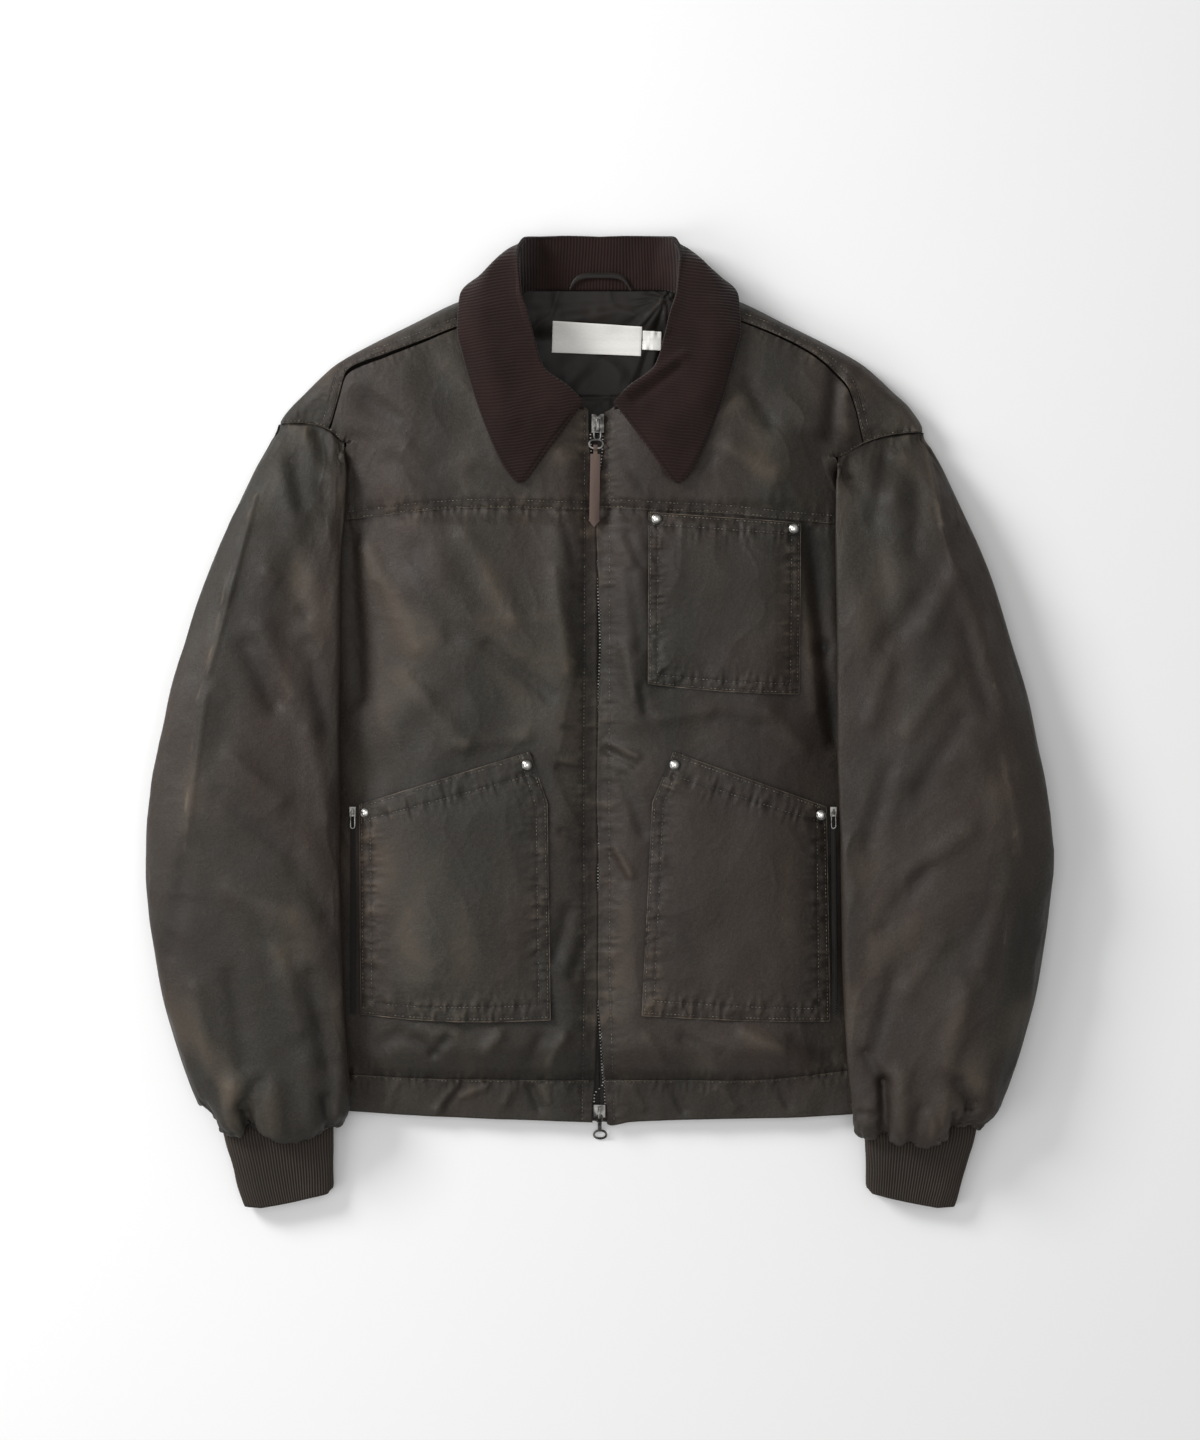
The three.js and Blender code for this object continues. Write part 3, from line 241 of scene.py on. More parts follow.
# Main creases of each sleeve, x without its sign, then those near the cuff.
SLEEVE_CREASES = {
    -1: [
        [244, 239, 225, 200, 7, 2.2], [251, 213, 244, 178, 8, -2.2], [230, 214, 222, 170, 7, -1.6], [281, 182, 319, 37, 2.2, 1.1],
        [270, 120, 250, 96, 6, 1.6], [262, 110, 240, 88, 6, -1.8], [288, 60, 266, 14, 9, -2.8], [274, 74, 250, 20, 9, 2],
        [240, 60, 222, -6, 8, -2.2], [320, 20, 336, -90, 2.4, 1.1], [236, -10, 222, -80, 8, 2.2], [300, -30, 262, -66, 9, 2],
        [306, -60, 262, -100, 9, -2.2], [250, -110, 222, -160, 9, -2.4], [336, -106, 352, -190, 8, -1.8], [300, -140, 250, -160, 9, 1.8],
        [262, -190, 244, -250, 9, 2.4], [300, -210, 290, -280, 9, -2.4], [330, -220, 318, -290, 8, 2], [236, -210, 222, -280, 8, -2.2],
        [291, -316, 284, -340, 4.5, -4.6], [277, -296, 291, -318, 7, -3], [300, -300, 304, -330, 9, 3], [268, -300, 266, -334, 12, 3],
        [224, -310, 221, -342, 5, -3.2], [240, -280, 236, -330, 10, 2.2], [326, -318, 318, -334, 5, -2.4], [212, -290, 214, -322, 5, 1.6],
    ],
    1: [
        [269, 238, 281, 160, 2.2, 1], [281, 160, 289, 130, 2, 0.9], [250, 216, 242, 180, 8, 2.2], [236, 216, 226, 168, 7, -2],
        [262, 190, 258, 140, 8, -2], [290, 120, 268, 76, 9, 2.2], [262, 100, 236, 60, 9, -2.4], [300, 76, 318, 10, 8, -1.8],
        [240, 60, 222, 0, 8, 2.2], [286, 40, 252, -10, 9, 2], [296, 0, 262, -56, 9, -2.4], [330, -30, 344, -110, 2.4, 1],
        [236, -40, 220, -100, 8, -2.2], [300, -90, 258, -120, 9, 2], [268, -120, 232, -170, 9, -2.4], [330, -140, 312, -200, 9, 2.2],
        [350, -150, 342, -220, 7, -1.6], [280, -180, 252, -220, 9, 2], [240, -210, 226, -270, 8, -2.2], [300, -220, 284, -280, 9, 2.2],
        [217, -274, 232, -296, 6, -2.6], [232, -296, 235, -342, 4.5, -5], [247, -290, 246, -336, 10, 3.4], [222, -318, 218, -334, 8, 2.4],
        [214, -322, 226, -323, 3, -1.8], [282, -310, 278, -338, 8, 2], [294, -296, 306, -316, 6, -3.6], [306, -316, 297, -331, 3.5, -3.2],
        [290, -322, 289, -338, 4, -3.4], [318, -300, 322, -326, 9, 2.4], [262, -318, 258, -344, 5, -1.6], [270, -322, 276, -344, 4, 1.6],
    ],
}
# Where each sleeve's puff ends over the cuff, front: x without its sign, y.
PUFF_END = {
    -1: curve([
        [206.6, -333.7], [214, -338.5], [227, -344], [239.4, -349.7], [251.7, -352.6], [261.6, -351.4], [274, -343],
        [283, -341.5], [287, -338.4], [292, -343.4], [299, -344.2], [310.8, -342.3], [320, -336.5], [327, -331.7],
    ]),
    1: curve([
        [207.7, -328], [215.8, -343.5], [224, -344.6], [232.6, -342], [235, -345.5], [245.6, -350.4], [253, -346.4], [264, -352],
        [272, -349.6], [279, -344], [283, -345.4], [291.7, -337.4], [299, -336.4], [305.5, -334.8], [313.5, -338.5], [324.5, -332.5],
    ]),
}
# Pale scuffed lines on the sleeves, x without its sign.
SCUFFS = {
    -1: [[(281, 186), (296, 140), (307, 107), (320, 40), (327, 17), (334, -40), (339, -106)]],
    1: [[(269, 238), (276, 190), (281, 160)], [(322, 30), (334, -40)], [(338, -90), (330, -190)]],
}
POCKETS = {
    "chest_pocket": dict(tl=(41, 170.4), tr=(165.4, 161.8), br=(164, 21.8), bl=(40.4, 30.2), puff=3.5, bow=2, bend=0, band=9.5),
    "pocket_r": dict(tl=(-197.2, -69.5), tr=(-43, -26.1), br=(-40, -245.5), bl=(-196, -242), puff=4, bow=3, bend=-14, band=11),
    "pocket_l": dict(tl=(46, -26.1), tr=(187, -71.3), br=(190, -247.5), bl=(35.4, -242), puff=4, bow=1, bend=15, band=11),
}


# ---------- noise and relief


def noise(x, y, seed):
    """Value noise from -1 to 1: random values at whole numbers, blended smoothly between them."""
    x, y = np.broadcast_arrays(np.asarray(x, float), np.asarray(y, float))
    i, j = np.floor(x).astype(np.int64), np.floor(y).astype(np.int64)
    u, v = smooth(x - i), smooth(y - j)

    def value(i, j):
        n = (i * 374761393 + j * 668265263 + seed * 144269504) & 0xFFFFFFFF
        n = ((n ^ (n >> 13)) * 1274126177) & 0xFFFFFFFF
        return ((n ^ (n >> 16)) & 0xFFFF) / 32767.5 - 1

    return mix(mix(value(i, j), value(i + 1, j), u), mix(value(i, j + 1), value(i + 1, j + 1), u), v)


def folds_at(x, y, rows):
    """Sum of soft ridges: each falls off as a bell with the distance to its line."""
    z = np.zeros(np.broadcast(x, y).shape)
    for x0, y0, x1, y1, w, h in rows:
        dx, dy = x1 - x0, y1 - y0
        t = np.clip(((x - x0) * dx + (y - y0) * dy) / (dx * dx + dy * dy), 0, 1)
        z = z + h * np.exp(-((x - x0 - t * dx) ** 2 + (y - y0 - t * dy) ** 2) / (w * w))
    return z


def creases(x, y, seed, size):
    """Sharp-crested wrinkles: one minus the size of warped noise, raised to a power, so crests are thin lines."""
    wx = x + 0.45 * size * noise(x / size, y / size, seed)
    wy = y + 0.45 * size * noise(x / size, y / size, seed + 1)
    return (1 - np.abs(noise(wx / size, wy / (1.5 * size), seed + 2))) ** 3.5


def crumple(x, y, seed):
    """Worn waxed cloth over padding: soft swells, then long and short creases."""
    return (
        2.2 * noise(x / 62, y / 90, seed)
        + 1.7 * noise(x / 27, y / 40, seed + 10)
        + 0.8 * creases(x, y, seed + 20, 46)
        + 0.5 * creases(x + 0.4 * y, y, seed + 30, 21)
        + 0.2 * creases(x - 0.3 * y, y, seed + 40, 8)
    )


def to_line(x, y, points):
    """Distance to a polyline, and how far along it the nearest point lies."""
    points = np.asarray(points, float)
    best = np.full(x.shape, 1e9)
    along = np.zeros(x.shape)
    run = 0.0
    for (x0, y0), (x1, y1) in zip(points[:-1], points[1:]):
        dx, dy = x1 - x0, y1 - y0
        length = np.hypot(dx, dy)
        t = np.clip(((x - x0) * dx + (y - y0) * dy) / length**2, 0, 1)
        d = np.hypot(x - x0 - t * dx, y - y0 - t * dy)
        near = d < best
        best = np.where(near, d, best)
        along = np.where(near, run + t * length, along)
        run += length
    return best, along


def seam_relief(x, y, rows, seed=0):
    """Groove, pull-down and puckers of seams (points, groove, pull, pucker): height, and tone (pale pucker crests, part
    wear and part painted highlight; painted shade in pucker troughs and along the grooves).
    """
    z, tone = np.zeros(x.shape), np.zeros(x.shape)
    for k, (points, groove, pull, pucker) in enumerate(rows):
        d, s = to_line(x, y, points)
        z -= 0.55 * groove * np.exp(-((d / 1.3) ** 2)) + 0.5 * pull * np.exp(-d / 10)
        wave = noise(s / 2.8, d / 9, seed + 7 * k) + 0.6 * noise(s / 9, d / 14, seed + 7 * k + 3)
        z += 1.5 * pucker * np.exp(-d / 6.5) * wave * (1 - 0.5 * np.exp(-((d / 1.3) ** 2)))
        # Tone in step with the puckers' height: paler crests, part wear and part painted highlight, and darker troughs
        # as painted shade; painted shade also darkens a thin line in the groove.
        tone += np.exp(-d / 5) * wave * 0.45 * min(1, 2 * pucker) - 0.8 * min(1, groove) * np.exp(-((d / 1.1) ** 2))
    return z, tone


# ---------- the jacket's forms, as in the part


def half(y, side):
    return BODY_HALF(y, 1 if side < 0 else 2)


def side_high(y):
    return mix(5.6, ROLL, smooth((y + 300) / 40))


def plateau(x, y):
    rise = smooth((FRONT_REACH(y) - np.abs(x)) / 105)
    high = FRONT_HIGH(y, 2)
    dip = high * 0.2 * np.exp(-(((x - ZIP_X) / 17) ** 2))
    return mix(FRONT_HIGH(y, 1), high - dip, rise) + folds_at(x, y, FOLDS) * rise


def nape(x, y):
    return 7 * smooth((y - 312) / 26) * (1 - smooth((np.abs(x) - 78) / 26))


def shoulder(x):
    """y of the shoulder contour and the stretch of y for one step square to it."""
    a = np.abs(x)

    def edge(a):
        return np.where(x < 0, SHOULDER(a, 1), SHOULDER(a, 2))

    return edge(a), np.hypot(1, edge(a + 0.5) - edge(a - 0.5))


def top(x, y):
    edge, k = shoulder(x)
    g = np.sqrt(1 - (1 - np.clip((edge - y) / k / FOLD, 0, 1)) ** 2)
    mid = FOLD + nape(x, y)
    flat = plateau(x, y)
    return np.where(y < ARMHOLE(x), flat, mid + (flat - mid) * g)


def rolled(y, side):
    return smooth((FORK[side][1] - y) / 26)


def front_point(along, y, side):
    start = half(y, side) - ROLL
    q = np.where(y < FORK[side][1], rolled(y, side), 0)
    a = np.maximum(along - start, 0) / ROLL
    edge = plateau(side * start, y)
    x = np.where(along > start, start + ROLL * ((1 - q) * a + q * np.sin(a)), along)
    bent = edge - (edge - side_high(y)) * q * (1 - np.cos(a))
    beyond = (along > start) & (y <= FORK[side][1] + 0.01)
    return np.stack([side * np.where(beyond, x, along), y, np.where(beyond, bent, top(side * along, y))], -1)


def front_reach(y, side):
    q = np.where(y < FORK[side][1], rolled(y, side), 0)
    return half(y, side) - ROLL + ROLL * (1 + (HALF_PI - 1) * q)


def line(f, x0, x1, count=24):
    """Points (x, f(x)) of a seam's curve."""
    x = np.linspace(x0, x1, count)
    return np.stack([x, f(x)], -1)


def shoulder_line(side, shift=0.0):
    a = np.linspace(96, SEAM_END[side], 40)
    p = np.stack([a, SHOULDER_SEAM[side](a)], -1)
    way = np.gradient(p, axis=0)
    way /= np.linalg.norm(way, axis=1, keepdims=True)
    return (p + shift * np.stack([-way[:, 1], way[:, 0]], -1)) * [side, 1]


FRONT_SEAMS = [
    (line(YOKE_SEAM, -226, -4), 1.1, 2.2, 0.9),
    (line(lambda x: YOKE_SEAM(x) + 6.8, -226, -4), 0.5, 0.3, 0.4),
    (line(YOKE_SEAM, 2, 220), 1.1, 2.2, 0.9),
    (line(lambda x: YOKE_SEAM(x) + 6.8, 2, 220), 0.5, 0.3, 0.4),
    (shoulder_line(-1), 1.1, 2.0, 0.8),
    (shoulder_line(-1, 6.6), 0.5, 0.3, 0.4),
    (shoulder_line(1), 1.1, 2.0, 0.8),
    (shoulder_line(1, 6.6), 0.5, 0.3, 0.4),
    (line(HEM_SEAM, -228, -5), 1.2, 2.4, 1.1),
    (line(HEM_SEAM, 4, 228), 1.2, 2.4, 1.1),
    (line(ARMHOLE, -264, -209), 1.2, 2.0, 0.8),
    (line(ARMHOLE, 197, 268), 1.2, 2.0, 0.8),
    ([(-12, 252), (-12, 90), (-12.6, -60), (-12, -210), (-14, -331)], 0.7, 0.4, 0.7),
    ([(8.2, 252), (8.6, 90), (8.2, -60), (8.8, -210), (12.5, -333)], 0.7, 0.4, 0.7),
]


def front_relief(x, y):
    """Extra height of fronts, yokes and hem band, and its tone."""
    z, tone = seam_relief(x, y, FRONT_SEAMS, 5)
    calm = smooth((np.abs(x) - 4) / 30) * 0.7 + 0.3
    band = smooth((y + 302) / 14)
    crease_height = 1.35 * folds_at(x, y, CREASES)
    z = z + crumple(x, y, 3) * calm * mix(0.45, 1, band) + crease_height
    # Placket: short puckers across it between its stitching and the zip.
    strip = np.exp(-(((x + 2) / 13) ** 4)) * smooth((250 - y) / 30)
    short = strip * (noise(y / 7, x / 16, 121) + 0.7 * noise(y / 3.4, x / 12, 123))
    z = z + 0.5 * short
    # Hem band: the turned edge sags between stitches.
    z += (1 - band) * 1.3 * noise(x / 17, y / 40, 91)
    # Painted shadow: the fronts are darkened in a thin line right round each pocket's outline, and faintly a few
    # millimetres beyond it.
    for name in POCKETS:
        d, _ = to_line(x, y, pocket_outline(name))
        tone = tone - 0.9 * np.exp(-((d / 1.7) ** 2)) - 0.25 * np.exp(-d / 6)
    # Tone from relief: the placket's puckers and the listed creases are paler on their crests, part wear and part
    # painted highlight, and darker in their troughs, as painted shade.
    return z, tone + 0.25 * short + 0.09 * crease_height


def pocket_outline(name):
    u = np.array([0, 0, 0, 0.25, 0.5, 0.75, 1, 1, 1, 0.5, 0])
    v = np.array([1, 0.81, 0, 0, 0, 0, 0, 0.81, 1, 1, 1])
    x, y, _ = pocket_point(name, u, v)
    return np.stack([x, y], -1)


def front_z(x, y):
    x, y = np.asarray(x, float), np.asarray(y, float)
    return top(x, y) + front_relief(x, y)[0]


# ---------- meshes


def normals_of(points, wrap=False):
    """Unit normals of a grid of points, from the cross product of its two directions."""
    if wrap:
        du = np.roll(points, -1, 0) - np.roll(points, 1, 0)
    else:
        du = np.gradient(points, axis=0)
    n = np.cross(du, np.gradient(points, axis=1))
    return n / np.maximum(np.linalg.norm(n, axis=-1, keepdims=True), 1e-9)


def add_object(name, mesh, material):
    mesh.materials.append(material)
    obj = bpy.data.objects.new(name, mesh)
    bpy.context.scene.collection.objects.link(obj)
    return obj


def mesh_from(name, points, quads, material, uv=None, tints=None, flat=False):
    """Mesh object from points in millimetres; tints are named values kept on its points."""
    mesh = bpy.data.meshes.new(name)
    mesh.from_pydata((points.reshape(-1, 3) * MM).tolist(), [], quads.tolist())
    if not flat:
        mesh.polygons.foreach_set("use_smooth", np.ones(len(mesh.polygons), bool))
    if uv is not None:
        loops = np.zeros(len(mesh.loops), np.int64)
        mesh.loops.foreach_get("vertex_index", loops)
        layer = mesh.uv_layers.new(name="cloth")
        layer.data.foreach_set("uv", uv.reshape(-1, 2)[loops].astype(np.float32).ravel())
    for key, values in (tints or {}).items():
        attribute = mesh.attributes.new(key, "FLOAT", "POINT")
        attribute.data.foreach_set("value", np.broadcast_to(values, points.shape[:-1]).astype(np.float32).ravel())
    mesh.update()
    return add_object(name, mesh, material)


def grid_quads(nu, nv, wrap=False, flip=False, ring=False):
    """Quads of a grid: wrap joins its last column to the first, ring its last row to the first."""
    i, j = np.meshgrid(np.arange(nu if wrap else nu - 1), np.arange(nv if ring else nv - 1), indexing="ij")
    k, m = (i + 1) % nu, (j + 1) % nv
    quads = np.stack([i * nv + j, k * nv + j, k * nv + m, i * nv + m], -1).reshape(-1, 4)
    return quads[:, ::-1] if flip else quads


def rim(points, sides, drop):
    """Adds two rows at the named sides, turned down by drop, so that a sheet's edge looks thick."""
    for side in sides:
        axis = 0 if side in "ab" else 1
        edge = np.take(points, [0 if side in "ac" else -1], axis)
        inner = np.take(points, [1 if side in "ac" else -2], axis)
        away = edge - inner
        away /= np.maximum(np.linalg.norm(away, axis=-1, keepdims=True), 1e-9)
        down = np.array([0, 0, 1.0])
        rows = [edge + 0.45 * away - 0.35 * drop * down, edge + 0.3 * away - drop * down]
        points = np.concatenate(rows[::-1] + [points] if side in "ac" else [points] + rows, axis)
    return points


def lined_tube(points, tint, thick=1.5, every=6):
    """Tube with a coarser inner wall after the outer one, so that the two close as one thick cloth."""
    normal = normals_of(points, wrap=True)
    outward = np.sign((normal * (points - points.mean(0, keepdims=True))).sum())
    inner = (points - outward * thick * normal)[:, ::-1][:, ::every]
    inner[..., 2] = np.maximum(inner[..., 2], 0.02)
    return np.concatenate([points, inner], 1), np.concatenate([tint, 0 * tint[:, ::-1][:, ::every]], 1)


def cloth_area(points, wrap=False):
    du = (np.roll(points, -1, 0) - points if wrap else np.diff(points, axis=0))
    dv = np.diff(points, axis=1)
    du = du[:, :-1]
    dv = dv[: du.shape[0]]
    return float(np.linalg.norm(np.cross(du, dv), axis=-1).sum()) * MM * MM


def sheet(points, cut, wrap=False):
    """Works out the area of a laid piece of cloth, held between 0.301 and 1 times its cut's area, and keeps nothing.
    cut is its width and length in millimetres, all round on a tube.
    """
    width, length = cut[0] * MM, cut[1] * MM
    area = cloth_area(points, wrap) * (0.49 if wrap else 0.98)
    area = min(max(area, 0.301 * width * length), width * length)


def cloth(name, points, material, node, cut, wrap=False, flip=False, tints=None, scale=1.0, body="jacket"):
    """Grid of cloth that stands for CAD node(s), hides them and rides on the jacket."""
    nu, nv = points.shape[:2]
    step_u = np.linalg.norm(np.diff(points, axis=0, append=points[-1:]), axis=-1).mean(1)
    step_v = np.linalg.norm(np.diff(points, axis=1, append=points[:, -1:]), axis=-1).mean(0)
    u = np.concatenate([[0], np.cumsum(step_u)[:-1]])
    v = np.concatenate([[0], np.cumsum(step_v)[:-1]])
    uv = np.stack(np.meshgrid(u, v, indexing="ij"), -1) * MM * scale
    obj = mesh_from(name, points, grid_quads(nu, nv, wrap, flip, wrap), material, uv, tints)
    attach(obj, body)
    nodes = [node] if isinstance(node, str) else list(node)
    if nodes:
        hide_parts(*nodes)
    sheet(points, cut, wrap)
    return obj


def boxes(centres, directions, sizes, up=None):
    """Small six-sided bars: centres, unit directions, sizes (along, across, high), all in millimetres."""
    up = np.tile([0, 0, 1.0], (len(centres), 1)) if up is None else up
    side = np.cross(up, directions)
    side /= np.maximum(np.linalg.norm(side, axis=-1, keepdims=True), 1e-9)
    up = np.cross(directions, side)
    corners = []
    for a, b, c in [(-1, -1, -1), (1, -1, -1), (1, 1, -1), (-1, 1, -1), (-1, -1, 1), (1, -1, 1), (1, 1, 1), (-1, 1, 1)]:
        corners.append(centres + 0.5 * (a * sizes[0] * directions + b * sizes[1] * side + c * sizes[2] * up))
    points = np.stack(corners, 1)
    faces = np.array([(3, 2, 1, 0), (4, 5, 6, 7), (0, 1, 5, 4), (1, 2, 6, 5), (2, 3, 7, 6), (3, 0, 4, 7)])
    quads = (np.arange(len(centres))[:, None, None] * 8 + faces[None]).reshape(-1, 4)
    return points.reshape(-1, 3), quads


def along_line(points, step, start=0.0):
    """Points and unit directions every step along a polyline."""
    points = np.asarray(points, float)
    lengths = np.linalg.norm(np.diff(points, axis=0), axis=1)
    run = np.concatenate([[0], np.cumsum(lengths)])
    s = np.arange(start, run[-1], step)
    at = np.stack([np.interp(s, run, points[:, k]) for k in range(points.shape[1])], -1)
    ahead = np.stack([np.interp(s + 0.5, run, points[:, k]) - np.interp(s - 0.5, run, points[:, k]) for k in range(points.shape[1])], -1)
    return at, ahead / np.maximum(np.linalg.norm(ahead, axis=1, keepdims=True), 1e-9)


def stitches(lines, height, step=3.1, length=1.7, width=0.42):
    """Thread bars along lines on a surface z = height(x, y)."""
    centres, directions = [], []
    for points in lines:
        at, _ = along_line(points, step)
        _, way = along_line(points, step)
        ends = [np.column_stack([p, height(p[:, 0], p[:, 1])]) for p in (at - 0.5 * length * way, at + 0.5 * length * way)]
        d = ends[1] - ends[0]
        centres.append((ends[0] + ends[1]) / 2 + [0, 0, 0.08])
        directions.append(d / np.linalg.norm(d, axis=1, keepdims=True))
    return boxes(np.concatenate(centres), np.concatenate(directions), (length, width, 0.3))


# ---------- materials


class Ink:
    """A value in a shader: +, - and * make Math nodes, and node() makes any other node."""

    def __init__(self, tree, socket):
        self.tree, self.socket = tree, socket

    def node(self, kind, inputs, output=0, **settings):
        made = self.tree.nodes.new(kind)
        for key, value in settings.items():
            setattr(made, key, value)
        for key, value in inputs.items():
            if isinstance(value, Ink):
                self.tree.links.new(value.socket, made.inputs[key])
            else:
                made.inputs[key].default_value = value
        return Ink(self.tree, made.outputs[output])

    def math(self, operation, other, clamp=False):
        return self.node("ShaderNodeMath", {0: self, 1: other}, operation=operation, use_clamp=clamp)

    def __add__(self, other):
        return self.math("ADD", other)

    def __sub__(self, other):
        return self.math("SUBTRACT", other)

    def __mul__(self, other):
        return self.math("MULTIPLY", other)

    def noise(self, scale, detail=3.0, stretch=(1, 1, 1), roughness=0.5):
        at = self.node("ShaderNodeMapping", {"Vector": self, "Scale": stretch})
        return self.node("ShaderNodeTexNoise", {"Vector": at, "Scale": scale, "Detail": detail, "Roughness": roughness})

    def ramp(self, low, high):
        return self.node("ShaderNodeMapRange", {"Value": self, "From Min": low, "From Max": high}, clamp=True)

    def blend(self, a, b):
        return self.node("ShaderNodeMix", {"Factor": self, "A": a, "B": b}, output=2, data_type="RGBA")


def ink_mix(factor, a, b):
    """Colour a to b by factor; colours are (r, g, b, 1) or Ink."""
    made = factor.tree.nodes.new("ShaderNodeMix")
    made.data_type = "RGBA"
    factor.tree.links.new(factor.socket, made.inputs["Factor"])
    for socket, value in ((made.inputs[6], a), (made.inputs[7], b)):
        if isinstance(value, Ink):
            factor.tree.links.new(value.socket, socket)
        else:
            socket.default_value = value
    return Ink(factor.tree, made.outputs[2])


def srgb(r, g, b):
    """Linear colour with alpha from 0 to 255 screen values."""
    c = np.array([r, g, b]) / 255
    return (*np.where(c <= 0.04045, c / 12.92, ((c + 0.055) / 1.055) ** 2.4).tolist(), 1.0)


def material(name, slot=None, **constants):
    """Principled material with constant values set on its sockets; returns it, its shader and object coordinates."""
    made = bpy.data.materials.new(name)
    made.use_nodes = True
    shader = made.node_tree.nodes["Principled BSDF"]
    for key, value in constants.items():
        shader.inputs[key.replace("_", " ")].default_value = value
    coords = made.node_tree.nodes.new("ShaderNodeTexCoord")
    if slot:
        made["slot"] = slot
    return made, shader, Ink(made.node_tree, coords.outputs["Object"]), Ink(made.node_tree, coords.outputs["UV"])


def feed(shader, **inks):
    for key, ink in inks.items():
        ink.tree.links.new(ink.socket, shader.inputs[key.replace("_", " ")])


def bump(ink, strength, distance):
    return ink.node("ShaderNodeBump", {"Height": ink, "Strength": strength, "Distance": distance})


def attribute(ink, name):
    return ink.node("ShaderNodeAttribute", {}, output=2, attribute_name=name)


def waxed_cotton(name, dark, brown, pale, seed):
    """Mottled waxed cloth: two browns by broad noise, paler along worn crests and seams (partly painted highlight on
    crests), darkened by painted shade where the tone is below zero, fine weave and rubbed grain.
    """
    made, shader, at, _ = material(name, "cloth", Specular_IOR_Level=0.34)
    tone = attribute(at, "tone")
    # Plus tone is paler cloth: wear, scuffs and pale drifts, and on pucker and crease crests also painted highlight.
    # Minus tone is painted shade in seam grooves, troughs and round the pockets, plus the dark drifts.
    worn, deep = tone.math("MAXIMUM", 0.0), (tone * -1.0).math("MAXIMUM", 0.0).math("MINIMUM", 1.0)
    broad = at.noise(8 + seed, 4, (1.3, 0.6, 1)).ramp(0.4, 0.62)
    mid = at.noise(46, 4, (1, 1, 1), 0.6).ramp(0.36, 0.7)
    grain = at.noise(1400, 2)
    cover = ink_mix(broad * 0.8 + mid * 0.2, dark, brown)
    speck = at.noise(520, 4, (1, 1, 1), 0.75).ramp(0.42, 0.8)
    cover = ink_mix((worn * (mid * 0.5 + 0.6) + speck * 0.2).math("MINIMUM", 1.0), cover, pale)
    # Painted shade: minus tone mixes the cloth towards near black.
    feed(shader, Base_Color=ink_mix(deep * 0.75, cover, srgb(20, 17, 15)))
    feed(shader, Roughness=mid * 0.14 + grain * 0.1 + worn * 0.08 + 0.46)
    feed(shader, Normal=bump(grain * 0.5 + at.noise(260, 3) * 0.6, 0.7, 0.0009))
    return made


